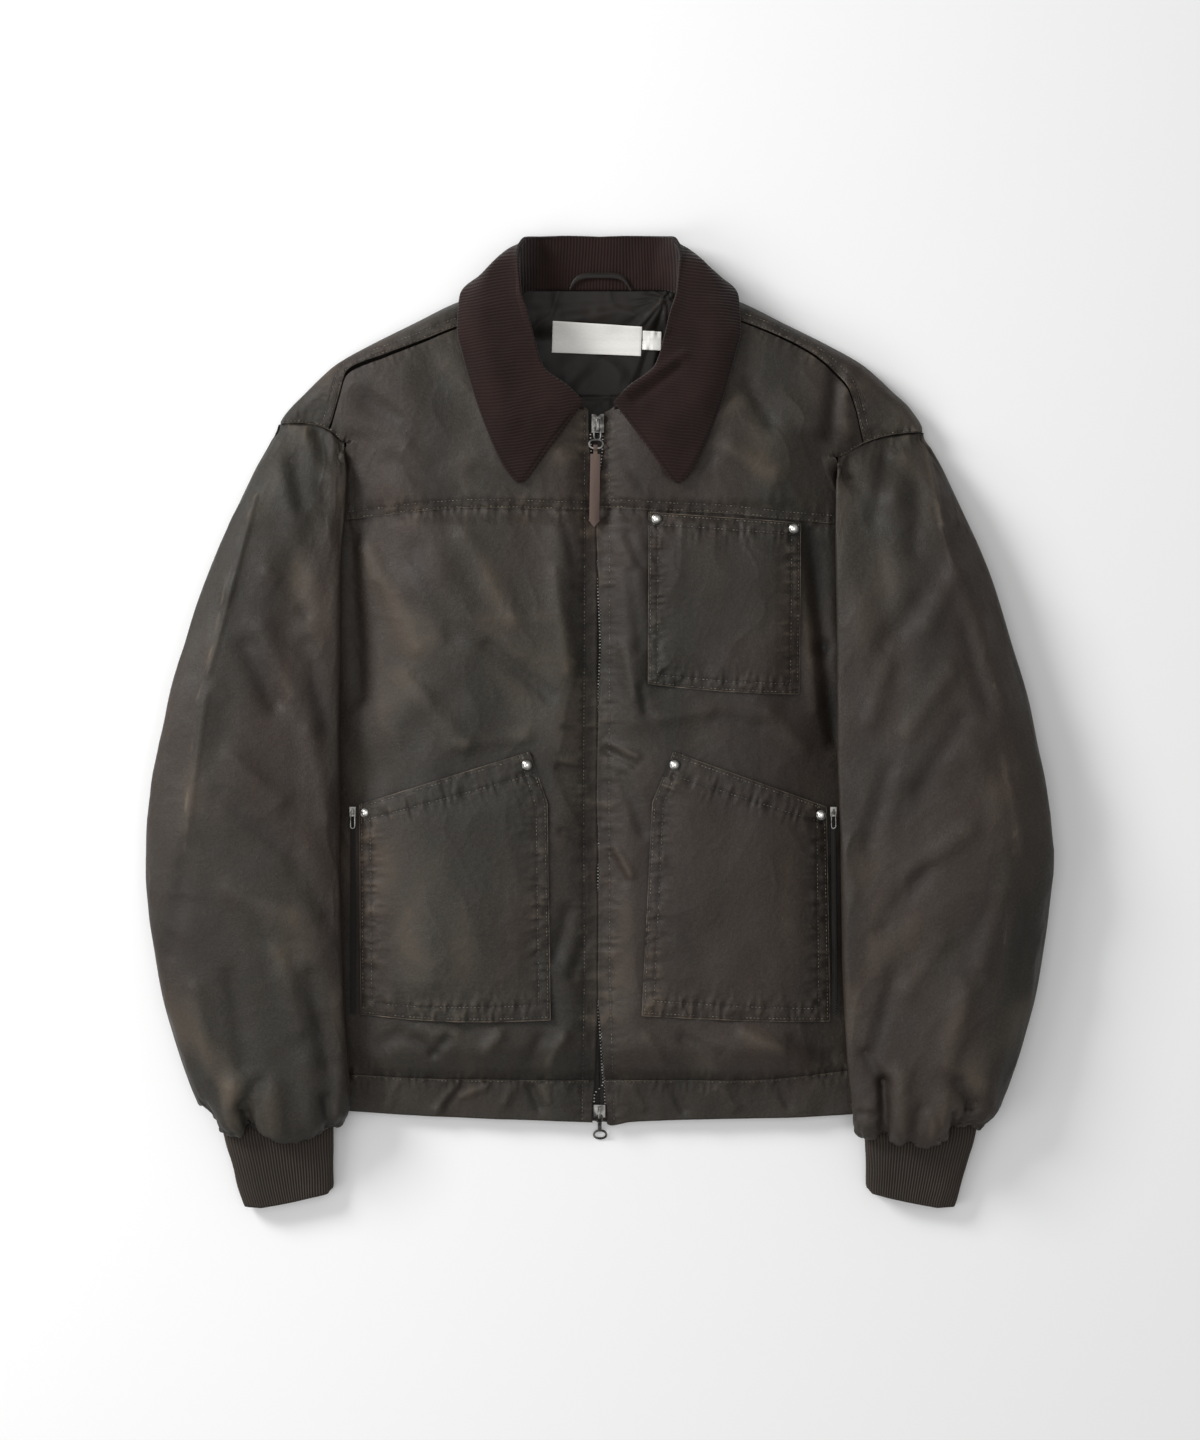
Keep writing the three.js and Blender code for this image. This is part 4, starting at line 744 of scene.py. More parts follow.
def make_materials():
    mats = {}
    dark, brown, pale = srgb(36, 34, 28), srgb(48, 38, 32), srgb(104, 92, 78)
    mats["cloth"] = waxed_cotton("waxed_cotton", dark, brown, pale, 0)
    # Corduroy: wales are a wave of the sheet's own wale count, broken by the pile's noise; the wave also paints the
    # colour, as painted highlight on the wale crests and painted shade between them.
    made, shader, at, _ = material("corduroy", "corduroy", Roughness=0.9, Specular_IOR_Level=0.15, Sheen_Weight=0.12, Sheen_Roughness=0.5)
    count = attribute(at, "wale") + at.noise(60, 2) * 0.0006
    wale = (count * (2 * np.pi / 0.0026)).math("SINE", 0.0) * 0.5 + 0.5
    pile = at.noise(700, 3, (1, 1, 1), 0.7)
    mottle = at.noise(30, 3).ramp(0.35, 0.7)
    # Colour factor: painted wale highlight and shade, with the pile's and mottle's own tone, darker along the stitch
    # lines.
    shade = (wale * 0.5 + pile * 0.4 + mottle * 0.35 - 0.15 - attribute(at, "stitch") * 0.35).math("MAXIMUM", 0.0).math("MINIMUM", 1.0)
    feed(shader, Base_Color=ink_mix(shade, srgb(23, 14, 12), srgb(46, 30, 27)))
    feed(shader, Normal=bump(wale * 0.6 + pile * 0.5, 0.8, 0.001))
    mats["corduroy"] = made
    made, shader, at, _ = material("rib_knit", "rib_knit", Specular_IOR_Level=0.25, Roughness=0.85)
    # Painted shade: the knit is darker in the grooves between ribs and on the cuff's inside, by the groove value; the
    # loops' noise is the yarn's own tone.
    low = attribute(at, "groove")
    loops = at.noise(900, 2, (1, 0.7, 1))
    feed(shader, Base_Color=ink_mix(low * 0.75 + loops * 0.3, srgb(74, 66, 59), srgb(27, 23, 21)))
    feed(shader, Normal=bump(loops, 0.6, 0.0007))
    mats["rib_knit"] = made
    made, shader, at, _ = material("satin", "satin", Specular_IOR_Level=0.22)
    soft = at.noise(36, 3, (1, 1, 1), 0.5).ramp(0.3, 0.7)
    feed(shader, Base_Color=ink_mix(soft, srgb(20, 17, 14), srgb(34, 29, 25)))
    feed(shader, Roughness=soft * 0.15 + 0.36)
    feed(shader, Normal=bump(at.noise(1300, 1, (1, 0.3, 1)), 0.25, 0.0003))
    mats["satin"] = made
    made, shader, at, _ = material("label_satin", "label_satin", Roughness=0.5)
    weave = at.noise(1100, 2, (0.3, 1, 1))
    feed(shader, Base_Color=ink_mix(weave, srgb(236, 233, 226), srgb(250, 248, 243)))
    feed(shader, Normal=bump(weave, 0.3, 0.0003))
    mats["label_satin"] = made
    made, shader, at, _ = material("zip_tape", "zip_tape", Roughness=0.85)
    weave = at.noise(1500, 2)
    feed(shader, Base_Color=ink_mix(weave, srgb(20, 17, 16), srgb(38, 33, 30)))
    mats["zip_tape"] = made
    made, shader, at, _ = material("gunmetal", "gunmetal", Metallic=1.0)
    wear = at.noise(150, 2).ramp(0.35, 0.7)
    shine = (attribute(at, "bright") * 0.8 + wear * 0.3).math("MINIMUM", 1.0)
    feed(shader, Base_Color=ink_mix(shine, srgb(66, 65, 63), srgb(232, 230, 225)))
    feed(shader, Roughness=wear * 0.1 + 0.24)
    mats["gunmetal"] = made
    made, shader, at, _ = material("leather", "leather", Specular_IOR_Level=0.4)
    grain = at.noise(500, 4, (1, 1, 1), 0.6)
    long = at.noise(90, 3, (1, 0.25, 1)).ramp(0.35, 0.7)
    feed(shader, Base_Color=ink_mix(long * 0.7 + grain * 0.3, srgb(74, 58, 52), srgb(93, 75, 67)))
    feed(shader, Roughness=grain * 0.2 + 0.5)
    feed(shader, Normal=bump(grain, 0.4, 0.0005))
    mats["leather"] = made
    made, shader, at, _ = material("thread", None, Roughness=0.7)
    feed(shader, Base_Color=ink_mix(at.noise(220, 2).ramp(0.42, 0.62), srgb(44, 40, 35), srgb(126, 117, 103)))
    mats["thread"] = made
    return mats


# ---------- pieces


def lip(y, side):
    """Distance from the centre line to a front's edge at the zip."""
    return side * ZIP_GAP(y, 1) + ZIP_GAP(y, 2) + 0.25 * noise(y / 13, 0 * y + side, 77)


def seam_y(seam, along, side):
    return seam(side * np.minimum(along, 226))


def body_grid(side, y_top, y_bottom, nu, nv):
    """Front grid from the zip's lip out and round the side, and from the upper seam to the lower one."""
    a = np.concatenate([np.linspace(0, 1, nu), 1 + np.linspace(0, 1, 12)[1:]])
    v = np.linspace(0, 1, nv)
    a, v = np.meshgrid(a, v, indexing="ij")
    along = 225 * a
    for _ in range(4):
        y = mix(seam_y(y_top, along, side), seam_y(y_bottom, along, side), v)
        start = half(y, side) - ROLL
        along = np.where(a <= 1, mix(lip(y, side), start, np.minimum(a, 1)), start + (ROLL * HALF_PI - 0.3) * (a - 1))
    return front_point(along, y, side)


def lifted(points, lips="a"):
    """Front grid with its relief added to z, its tone, and turned-down rims at the named sides."""
    z, tone = front_relief(points[..., 0], points[..., 1])
    out = points.copy()
    out[..., 2] += z
    tone = tone + tone_of(points[..., 0], points[..., 1])
    for side in lips:
        out = rim(out, side, 2.2)
        tone = np.pad(tone, ((2, 0), (0, 0)) if side == "a" else ((0, 0), (0, 2)), constant_values=0.5)
    return out, tone


def drift(x, y, seed):
    """Slow dark and pale drifts of a worn coating, drawn out along the cloth."""
    return 0.3 * noise(x / 22, y / 60, seed) + 0.22 * noise(x / 48 + y / 70, y / 90, seed + 1) - 0.12


def tone_of(x, y):
    """Paler wear on some crests, in patches, over slow drifts."""
    patch = smooth((noise(x / 55, y / 75, 301) + 0.25) / 0.9)
    crest = creases(x, y, 23, 46) ** 1.5 * 0.35 + creases(x + 0.4 * y, y, 33, 21) ** 2 * 0.3
    return crest * patch * 0.3 + 0.9 * drift(x, y, 311)


def front_yoke_grid(side, nu, nv):
    """Yoke between the zip, neckline, shoulder seam, armhole, side edge and yoke seam, blended from its four edges."""
    t = np.linspace(0, 1, 60)[:-1]
    first = lip(np.array([254.0]), side)[0]
    neck = np.stack([np.maximum(first, NECKLINE(t, 1)), NECKLINE(t, 2) - 0.4], -1)
    neck[0, 0] = first
    a = np.linspace(85, SEAM_END[side], 110)
    upper = np.concatenate([neck, np.stack([a, SHOULDER_SEAM[side](a)], -1)])
    weight = np.concatenate([np.linspace(0, 0.27, 60)[:-1], np.linspace(0.27, 1, 110)])

    def low(u):
        along = 225 * u
        for _ in range(4):
            y = seam_y(YOKE_SEAM, along, side) + 0.05
            along = mix(lip(y, side), front_reach(y, side) - 0.5, u)
        return np.stack([along, y], -1)

    y_low = low(np.array([1.0]))[0, 1]

    def outer(v):
        first = v <= 0.72
        y = mix(y_low, FORK[side][1], np.minimum(v / 0.72, 1))
        a = mix(FORK[side][0], upper[-1, 0], np.clip((v - 0.72) / 0.28, 0, 1))
        return np.where(first[:, None], np.stack([front_reach(y, side) - 0.5, y], -1), np.stack([a, ARMHOLE(side * a) + 0.05], -1))

    u, v = np.linspace(0, 1, nu), np.linspace(0, 1, nv)
    low_u = np.where(u < 0.7, u / 0.7 * 0.86, 0.86 + (u - 0.7) / 0.3 * 0.14)
    b, r = low(low_u)[:, None], outer(v)[None]
    p = np.stack([np.interp(u, weight, upper[:, k]) for k in (0, 1)], -1)[:, None]
    left = mix(low(np.array([0.0]))[0, 1], neck[0, 1], v)
    l = np.stack([lip(left, side), left], -1)[None]
    c00, c10, c01, c11 = b[0, 0], b[-1, 0], p[0, 0], p[-1, 0]
    U, V = u[:, None, None], v[None, :, None]
    flat = (1 - V) * b + V * p + (1 - U) * l + U * r - (
        (1 - U) * (1 - V) * c00 + U * (1 - V) * c10 + (1 - U) * V * c01 + U * V * c11
    )
    return front_point(flat[..., 0], flat[..., 1], side)


def back_grid(y_top, y_bottom, nu, nv):
    a = np.concatenate([np.linspace(-2, -1, 8)[:-1], np.linspace(-1, 1, nu), np.linspace(1, 2, 8)[1:]])
    a, v = np.meshgrid(a, np.linspace(0, 1, nv), indexing="ij")
    guess = a * 200
    y = mix(y_top(np.clip(guess, -205, 190)), y_bottom(np.clip(guess, -200, 200)), v)
    start = np.where(a < 0, half(y, -1), half(y, 1)) - ROLL
    turn = np.maximum(np.abs(a) - 1, 0) * (HALF_PI - 0.03)
    x = np.minimum(np.abs(a), 1) * start + ROLL * np.sin(turn)
    return np.stack([np.sign(a) * x, y, side_high(y) * (1 - np.cos(turn))], -1)


def yoke_grid(nu, nv):
    """Back yoke: up the back, round the shoulder fold and down to the front's seams."""
    x = np.concatenate([-263.4 * np.sin(np.linspace(HALF_PI, 0, nu // 2)), 267.2 * np.sin(np.linspace(0, HALF_PI, nu // 2)[1:])])
    edge, k = shoulder(x)
    turn = FOLD * HALF_PI

    def along(y, sign):
        d = (edge - y) / k
        return sign * np.where(d >= FOLD, d - FOLD + turn, FOLD * np.arccos(np.clip(1 - d / FOLD, -1, 1)))

    a = np.abs(x)
    side_seam = np.where(x < 0, SHOULDER_SEAM[-1](a), SHOULDER_SEAM[1](a))
    seam85 = np.where(x < 0, SHOULDER_SEAM[-1](85.0), SHOULDER_SEAM[1](85.0))
    end = np.where(x < 0, SEAM_END[-1], SEAM_END[1])
    inner = along(355.5, -1)
    stop = np.where(
        a <= 62, inner,
        np.where(a < 85, mix(inner, along(seam85 + 0.05, 1), smooth((a - 62) / 23)),
                 along(np.where(a <= end, side_seam + 0.05, ARMHOLE(x) + 0.05), 1)),
    )
    w = mix(along(ARMHOLE(x) + 0.5, -1)[:, None], stop[:, None], np.linspace(1, 0, nv)[None])
    s = np.abs(w)
    d = np.where(s >= turn, s - turn + FOLD, FOLD * (1 - np.cos(np.minimum(s / FOLD, HALF_PI))))
    X = np.broadcast_to(x[:, None], w.shape)
    y = edge[:, None] - d * k[:, None]
    g = np.sqrt(np.maximum(0, 1 - (1 - np.clip(d / FOLD, 0, 1)) ** 2))
    low = nape(X, y)
    z = np.where(w < 0, low + FOLD * (1 - g), FOLD + low + (plateau(X, y) - FOLD - low) * g)
    front = smooth(w / 14 + 0.6)
    relief, tone = front_relief(X, y)
    z = z + relief * front * smooth(d / 6)
    return np.stack([X, y, z], -1), (tone + tone_of(X, y)) * front


def sleeve_ring(a, y, side):
    col = 2 if side < 0 else 3
    o, i, h = SLEEVE(y, 1), SLEEVE(y, col), SLEEVE(y, 4)
    cs, sn = np.cos(a), np.sin(a)
    x = (o + i) / 2 + (o - i) / 2 * np.sign(cs) * np.abs(cs) ** 0.92
    w = half(y, side)
    lift = (plateau(side * np.minimum(x, w - ROLL), y) + 1.6) * smooth((y + 338) / 11)
    low = lift * (1 - smooth((x - (w + 1.5)) / 15))
    middle = mix(0.42 * h, low + 0.5 * (h - low), smooth(0.8 * (1 - cs) - 0.3))
    crown = h + folds_at(side * x, y, SLEEVE_FOLDS[side]) * np.maximum(0, sn)
    up = middle + (crown - middle) * np.abs(sn) ** 0.78
    down = middle - (middle - low) * np.clip(1.3 * np.abs(sn) ** 0.6, 0, 1)
    return x, np.maximum(np.where(sn >= 0, up, down), low)


def armhole_ring(a, side):
    o, i = (265.2 if side < 0 else 268.6), FORK[side][0] + 0.6
    x = (o + i) / 2 + (o - i) / 2 * np.cos(a)
    y = ARMHOLE(side * x) - 0.05
    edge, k = shoulder(side * x)
    d = np.clip((edge - y) / k / FOLD, 0, 1)
    g = np.sqrt(1 - (1 - d) ** 2) * np.sqrt(np.minimum(1, np.abs(np.sin(a)) * 6))
    return x, y, np.where(np.sin(a) >= 0, FOLD + (plateau(side * x, y) - FOLD) * g, FOLD * (1 - g))


def cuff_ring(a, y, side, grow=0.0, rib=0.0):
    c = 1 if side < 0 else 3
    h, i, o = CUFF(y, 5), CUFF(y, c), CUFF(y, c + 1)
    cs, sn = np.cos(a), np.sin(a)
    x = (i + o) / 2 + ((o - i) / 2 - RIB_HIGH + grow + rib) * np.sign(cs) * np.abs(cs) ** 0.8
    z = h / 2 + (h / 2 - RIB_HIGH + grow + rib) * np.clip(1.12 * np.sign(sn) * np.abs(sn) ** 0.7, -1, 1)
    return x, z + CUFF_LIFT * smooth((y + 385) / 32)


def gathers(across, seed, count):
    """Uneven folds across a sleeve's end: bells at random places, each with its own width and depth."""
    rng = np.random.default_rng(seed)
    places = (np.arange(count) + rng.uniform(-0.36, 0.36, count) + 0.5) / count
    z = np.zeros_like(across)
    for place, deep, wide in zip(places, rng.uniform(0.5, 1.5, count), rng.uniform(0.3, 0.75, count)):
        z += deep * np.exp(-(((across - place) * count / wide) ** 2))
    return z


def sleeve_grid(side, nu, nv):
    """Sleeve tube: the armhole's section blends into bean-shaped rings, which close in over the cuff."""
    a = np.linspace(0, 2 * np.pi, nu, endpoint=False)[:, None]
    v = np.concatenate([np.linspace(0, 1, nv), 1 + 0.08 * np.linspace(0, 1, 26)[1:]])[None]
    a, v = np.broadcast_arrays(a, v)
    start = 243 if side < 0 else 236
    sn, up = np.sin(a), smooth(np.sin(a) * 3)
    y = mix(start, -336, np.minimum(v, 1))
    x, z = sleeve_ring(a, y, side)
    fade = 1 - smooth((start - y) / (46 if side < 0 else 52))
    ax, ay, az = armhole_ring(a, side)
    quick = mix(fade, 1 - smooth((start - y) / 13), smooth(np.cos(a) * 2))
    x, z, y = mix(x, ax, quick), mix(z, az, fade), y + (ay - start) * fade
    near_fork = smooth(v * 40) * smooth((FORK[side][1] + 3 - y) / 9) * smooth((half(y, side) + 9 - x) / 7) * (fade > 0)
    shelf = plateau(side * (half(y, side) - ROLL), y) + 1.2 + 3 * smooth(0.5 + 2 * sn)
    z = np.maximum(z, shelf * near_fork)
    # End: t from 0 at the puff's fullest to 1 on the knit, at the height that the table gives.
    t = np.maximum(v - 1, 0) / 0.08
    cx, cz = cuff_ring(a, -350.0, side, RIB_HIGH + 1.1 + WALL)
    k = smooth(t**0.8)
    end = PUFF_END[side](x) + 6 * (1 - up)
    y = y + (end + 341.5) * smooth((-y - 250) / 86) * (0.3 + 0.7 * smooth((-y - 320) / 16))
    y = np.where(v > 1, y - 5.5 * np.sin(np.minimum(t, 1) * 3.14) ** 0.8 + 3 * t, y)
    x, z = np.where(v > 1, mix(x, np.abs(cx), k), x), np.where(v > 1, np.maximum(mix(z, cz, k), 0.02), z)
    points = np.stack([side * x, y, z], -1)
    normal = normals_of(points, wrap=True)
    normal *= np.sign((normal[..., 2] * np.where(sn >= 0, 1, -1)).sum())
    around = a / (2 * np.pi)
    turn = np.minimum(around, 1 - around) * 360
    wave = 1.15 * crumple(turn + 400 * (sn < 0), y, 60 + side)
    wave = wave * smooth(np.abs(sn) * 3.2) + 1.3 * folds_at(x, y, SLEEVE_CREASES[side]) * up
    mirror = [[x1 - 12, y1 - 26, x0 - 12, y0 - 26, w, h] for x0, y0, x1, y1, w, h in SLEEVE_CREASES[side]]
    wave = wave + folds_at(x, y, mirror) * smooth(-sn * 3) * 0.7
    # Gathers: fine uneven pleats that die out up the sleeve.
    close = np.exp(-np.maximum(y - end, 0) / 13)
    wave = wave - close * (1.5 * gathers(around, 11 + side, 58) - 0.5) * smooth((-y - 250) / 50)
    # Armhole: the cloth dips to the seam and puckers along it.
    away = np.maximum(ay - y, 0)
    wave = wave - 1.6 * np.exp(-away / 7) * up + np.exp(-away / 9) * up * noise(x / 3.6, away / 12, 71)
    hold = np.where(z < 4, 0.15, 1) * np.where(t > 0.8, 0.25, 1) * smooth(0.25 + v * 60)
    points = points + normal * (wave * hold)[..., None]
    points[..., 2] = np.maximum(points[..., 2], 0.02)
    # Tone from relief: the armhole's pucker crests paler, part wear and part painted highlight, with painted shade in
    # their troughs and in a thin line at the seam. The listed creases get paler crests and darker troughs, painted
    # light and shade, and the gathers get darker troughs, painted shade.
    tone = 0.5 * np.exp(-away / 6) * up * noise(x / 3.6, away / 12, 71) - 0.7 * np.exp(-((away / 1.2) ** 2))
    tone = tone + 0.09 * folds_at(x, y, SLEEVE_CREASES[side]) - 0.35 * close * (gathers(around, 11 + side, 58) - 0.4)
    for row in SCUFFS[side]:
        d, s = to_line(x, y, row)
        tone = tone + np.exp(-((d / 1.0) ** 2)) * smooth(0.45 + 0.9 * noise(s / 9, d / 3, 88)) * 0.6
        tone = tone + 0.1 * np.exp(-((d / 6) ** 2))
    tone = tone + 0.25 * np.exp(-((turn - 3) / 7) ** 2) * smooth(noise(y / 40, 0 * y, 89) * 2)
    tone = tone + 0.9 * drift(turn, y, 331)
    return points, tone * np.where(sn > -0.2, 1, 0.3)


def even_turns(side, count):
    """Angles that share a cuff's girth out evenly."""
    fine = np.linspace(0, 2 * np.pi, 4000)
    x, z = cuff_ring(fine, -375.0, side)
    run = np.concatenate([[0], np.cumsum(np.hypot(np.diff(x), np.diff(z)))])
    return np.interp(np.linspace(0, run[-1], count, endpoint=False), run, fine)


def cuff_grid(side):
    """Rib-knit tube: outer side with rounded ribs, turned in at its mouth, plain inside."""
    ribs = 80
    count = ribs * 6
    a = even_turns(side, count)[:, None]
    wave = 0.5 + 0.5 * np.cos(np.arange(count)[:, None] / 6 * 2 * np.pi)
    across = 0.5 + 0.5 * np.sign(np.cos(a)) * np.abs(np.cos(a)) ** 0.8
    far = mix(-390.5, -402.3, np.clip(across / 0.8, 0, 1)) + 3.2 * smooth(1 - across * 18) - 1.2 * np.sin(across * np.pi)
    v = np.linspace(0, 1, 30)[None]
    y = mix(-326.0, far, v)
    sag = 0.6 * noise(a * 3, y / 16, 17 + side)
    ends = smooth((1 - v) / 0.05)
    x, z = cuff_ring(a, y, side, sag, (0.15 + 0.85 * ends) * RIB_HIGH * wave**0.8)
    sway = 0.9 * noise(a * 2, y / 22, 27 + side) * smooth(v * 3) * smooth(np.abs(np.sin(a)) * 2)
    outer = np.stack([side * (x + sway), y + 0 * a, z], -1)
    y_in = mix(far - 0.1, -350.0, np.linspace(0, 1, 6)[None])
    xi, zi = cuff_ring(a, y_in, side, -2.0)
    inner = np.stack([side * xi, y_in + 0 * a, zi], -1)
    # groove paints shade: darkest between the ribs, with a set darkness on the inside wall.
    groove = np.concatenate([np.broadcast_to(1 - wave, outer.shape[:2]), np.full(inner.shape[:2], 0.6)], 1)
    both = np.concatenate([outer, inner], 1)
    both[..., 2] = np.maximum(both[..., 2], 0.02)
    return both, groove


def rows_at(nodes, rows, t):
    """Smooth curve through rows (..., row, xyz) at nodes, for each t; slopes are harmonic means."""
    nodes = np.asarray(nodes, float)
    slopes = np.diff(rows, axis=-2) / np.diff(nodes)[:, None]
    before, after = slopes[..., :-1, :], slopes[..., 1:, :]
    total = before + after
    tangents = np.zeros_like(rows)
    tangents[..., 1:-1, :] = np.where(before * after > 0, 2 * before * after / np.where(total == 0, 1, total), 0)
    tangents[..., 0, :], tangents[..., -1, :] = 0.5 * slopes[..., 0, :], 0.5 * slopes[..., -1, :]
    k = np.clip(np.searchsorted(nodes, t, side="right") - 1, 0, len(nodes) - 2)
    step = (nodes[k + 1] - nodes[k])[..., None]
    s = (t - nodes[k])[..., None] / step

    def pick(values, k):
        return np.take_along_axis(values, k[..., None, None], -2)[..., 0, :]

    return (
        (2 * s**3 - 3 * s * s + 1) * pick(rows, k) + (s**3 - 2 * s * s + s) * pick(tangents, k) * step
        + (3 * s * s - 2 * s**3) * pick(rows, k + 1) + (s**3 - s * s) * pick(tangents, k + 1) * step
    )


def collar_grid(nu, nv):
    """Corduroy sheet from the sections: a middle surface with rounded leaf points, then both faces and the wale count."""
    u, t = np.meshgrid(np.linspace(0, 1, nu), 0.5 - 0.5 * np.cos(np.linspace(0, 1, nv) * np.pi) * 0.12
                       + (np.linspace(0, 1, nv) - 0.5) * 0.88, indexing="ij")
    side = np.where(u < 0.5, -1.0, 1.0)
    s = 10 * (1 - np.abs(2 * u - 1))
    # Round the leaf's point: a square corner of the sheet is mapped on a quarter disc.
    p, q = np.clip(1 - s / 0.7, 0, 1), np.clip(1 - (1 - t) / 0.1, 0, 1)
    s = np.where(q > 0, s + 0.7 * p * (1 - np.sqrt(1 - q * q / 2)), s)
    t = np.where(p > 0, t - 0.1 * q * (1 - np.sqrt(1 - p * p / 2)), t)

    def at(c):
        return np.stack([side * COLLAR(s, c), COLLAR(s, c + 1), COLLAR(s, c + 2)], -1)

    neck, roll, fall, edge = at(1), at(4), at(7), at(10)
    away = roll - (neck + fall) / 2
    away /= np.linalg.norm(away, axis=-1, keepdims=True)
    rows = np.stack([neck, mix(neck, roll, 0.5), roll, roll + 3 * away, mix(roll, fall, 0.22), fall, edge], -2)
    middle = rows_at([0, 0.22, 0.4, 0.5, 0.6, 0.78, 1], rows, t)
    normal = normals_of(middle)
    thick = 1.5 * np.sqrt(np.clip(np.minimum(t, 1 - t) * 30, 0.02, 1)) * np.sqrt(np.clip(np.minimum(u, 1 - u) * 60, 0.02, 1))
    x, y = middle[..., 0], middle[..., 1]
    wavy = 0.9 * noise(x / 26, y / 26, 41) + 0.4 * noise(x / 9, y / 11, 43) + folds_at(x, y, COLLAR_CREASES)
    leaf = smooth((t - 0.45) * 12)
    hem = np.minimum((1 - t) * 190, s * 25 + (t < 0.6) * 99) - 5.5
    wavy = wavy - leaf * 0.5 * np.exp(-((hem / 0.9) ** 2))
    middle = middle + normal * (wavy * smooth(np.minimum(t, 1 - t) * 9))[..., None]
    outer = middle + normal * thick[..., None]
    inner = middle - normal * thick[..., None]
    # Wales run across the leaves and up the back stand.
    level = y + side * 0.13 * x + 2.4 * noise(x / 38, y / 50, 47) + 0.7 * noise(x / 11, y / 14, 48)
    wale = np.where((leaf < 0.5) & (s > 6), x + 1.5 * noise(x / 30, y / 40, 49), level)
    ring = np.concatenate([outer, inner[:, ::-1]], 1)
    stitch = leaf * np.exp(-((hem / 1.0) ** 2))
    return ring, np.concatenate([wale, wale[:, ::-1]], 1), np.concatenate([stitch, 0 * stitch], 1), outer


def pocket_point(name, u, v):
    p = POCKETS[name]
    corner = {k: np.array(p[k], float) for k in ("tl", "tr", "br", "bl")}
    U, V = u[..., None], v[..., None]
    xy = mix(mix(corner["bl"], corner["br"], U), mix(corner["tl"], corner["tr"], U), V)
    x = xy[..., 0] + p["bend"] * np.maximum(0, (v - 0.81) / 0.19) * (u if p["bend"] < 0 else 1 - u)
    y = xy[..., 1] - p["bow"] * 4 * u * (1 - u) * (1 - v)
    near = np.minimum(np.minimum(u, 1 - u), np.minimum(v, 1 - v))
    puff = np.minimum(1, near * 6) ** 0.6
    return x, y, top(x, y) + 2.6 + p["puff"] * puff * (0.5 + 0.5 * np.minimum(1, 1.6 * (1 - v)))


def pocket_lines(name):
    """Stitch lines of a pocket in (x, y): two rows round three sides and the top hem."""
    size = 140.0
    rows = []
    for inset in (1.6, 8.2):
        k = inset / size
        u = np.concatenate([np.full(30, k), np.linspace(k, 1 - k, 30), np.full(30, 1 - k)])
        v = np.concatenate([np.linspace(1, k, 30), np.full(30, k), np.linspace(k, 1, 30)])
        x, y, _ = pocket_point(name, u, v)
        rows.append(np.stack([x, y], -1))
    u = np.linspace(0.01, 0.99, 40)
    for drop in (1.6, POCKETS[name]["band"]):
        x, y, _ = pocket_point(name, u, np.full(40, 1 - drop / size))
        rows.append(np.stack([x, y], -1))
    return rows


def pocket_relief(name, x, y):
    lines = pocket_lines(name)
    strength = [(0.4, 0.8, 0.8), (0.7, 0.9, 1.0), (0.3, 0.4, 0.5), (1.2, 1.2, 0.9)]
    z, tone = seam_relief(x, y, [(p, *s) for p, s in zip(lines, strength)], 40)
    return z + 0.9 * crumple(x, y, 29) + 0.5 * folds_at(x, y, CREASES), tone


def pocket_height(name):
    """z of a pocket's cloth at (x, y), by solving for its place across and up."""

    def height(x, y):
        u, v = np.full(x.shape, 0.5), np.full(x.shape, 0.5)
        for _ in range(12):
            px, py, pz = pocket_point(name, u, v)
            ux, uy, _ = pocket_point(name, u + 0.01, v)
            vx, vy, _ = pocket_point(name, u, v + 0.01)
            a, b, c, d = (ux - px) * 100, (vx - px) * 100, (uy - py) * 100, (vy - py) * 100
            det = a * d - b * c
            ex, ey = x - px, y - py
            u, v = u + (d * ex - b * ey) / det, v + (a * ey - c * ex) / det
        _, _, pz = pocket_point(name, np.clip(u, 0, 1), np.clip(v, 0, 1))
        return pz + pocket_relief(name, x, y)[0]

    return height


def zip_top(y):
    return top(np.full(np.shape(y), ZIP_X), np.asarray(y, float))


# ---------- operators


def settings():
    return bpy.context.scene.jacket


class JacketSettings(bpy.types.PropertyGroup):
    """Sizes that set the jacket's detail."""

    fineness: FloatProperty(name="Fineness", default=1.0, min=0.2, max=2.0, description="Grid density of the cloth")
    camera_height: FloatProperty(name="Camera height", default=3.04, min=1.0, description="Metres above the floor")
    key_energy: FloatProperty(name="Key light", default=57.0, description="Watts of the key light")


def density(n):
    scale = settings().fineness * 1.0
    return max(6, int(n * scale))


class JACKET_OT_fronts(bpy.types.Operator):
    """Fronts, front yokes and hem bands: the same grid formula between different seams"""

    bl_idname = "jacket.fronts"
    bl_label = "Fronts and yokes"

    def execute(self, context):
        mats = FRAME["materials"]
        for side, tag in ((-1, "r"), (1, "l")):
            flip = side > 0
            points, tone = lifted(body_grid(side, lambda x: YOKE_SEAM(x) + 0.05, HEM_SEAM, density(150), density(300)))
            cloth(f"front_cloth_{tag}", points, mats["cloth"], f"front_{tag}", (250, 480), flip=flip, tints={"tone": tone})
            points, tone = lifted(body_grid(side, HEM_SEAM, HEM_EDGE, density(170), density(30)), "ad")
            cloth(f"hem_cloth_{tag}", points, mats["cloth"], f"hem_band_{tag}", (245, 44), flip=flip, tints={"tone": tone})
            points, tone = lifted(front_yoke_grid(side, density(150), density(110)))
            cloth(f"yoke_cloth_{tag}", points, mats["cloth"], f"front_yoke_{tag}", (235, 185), flip=not flip, tints={"tone": tone})
        return {"FINISHED"}


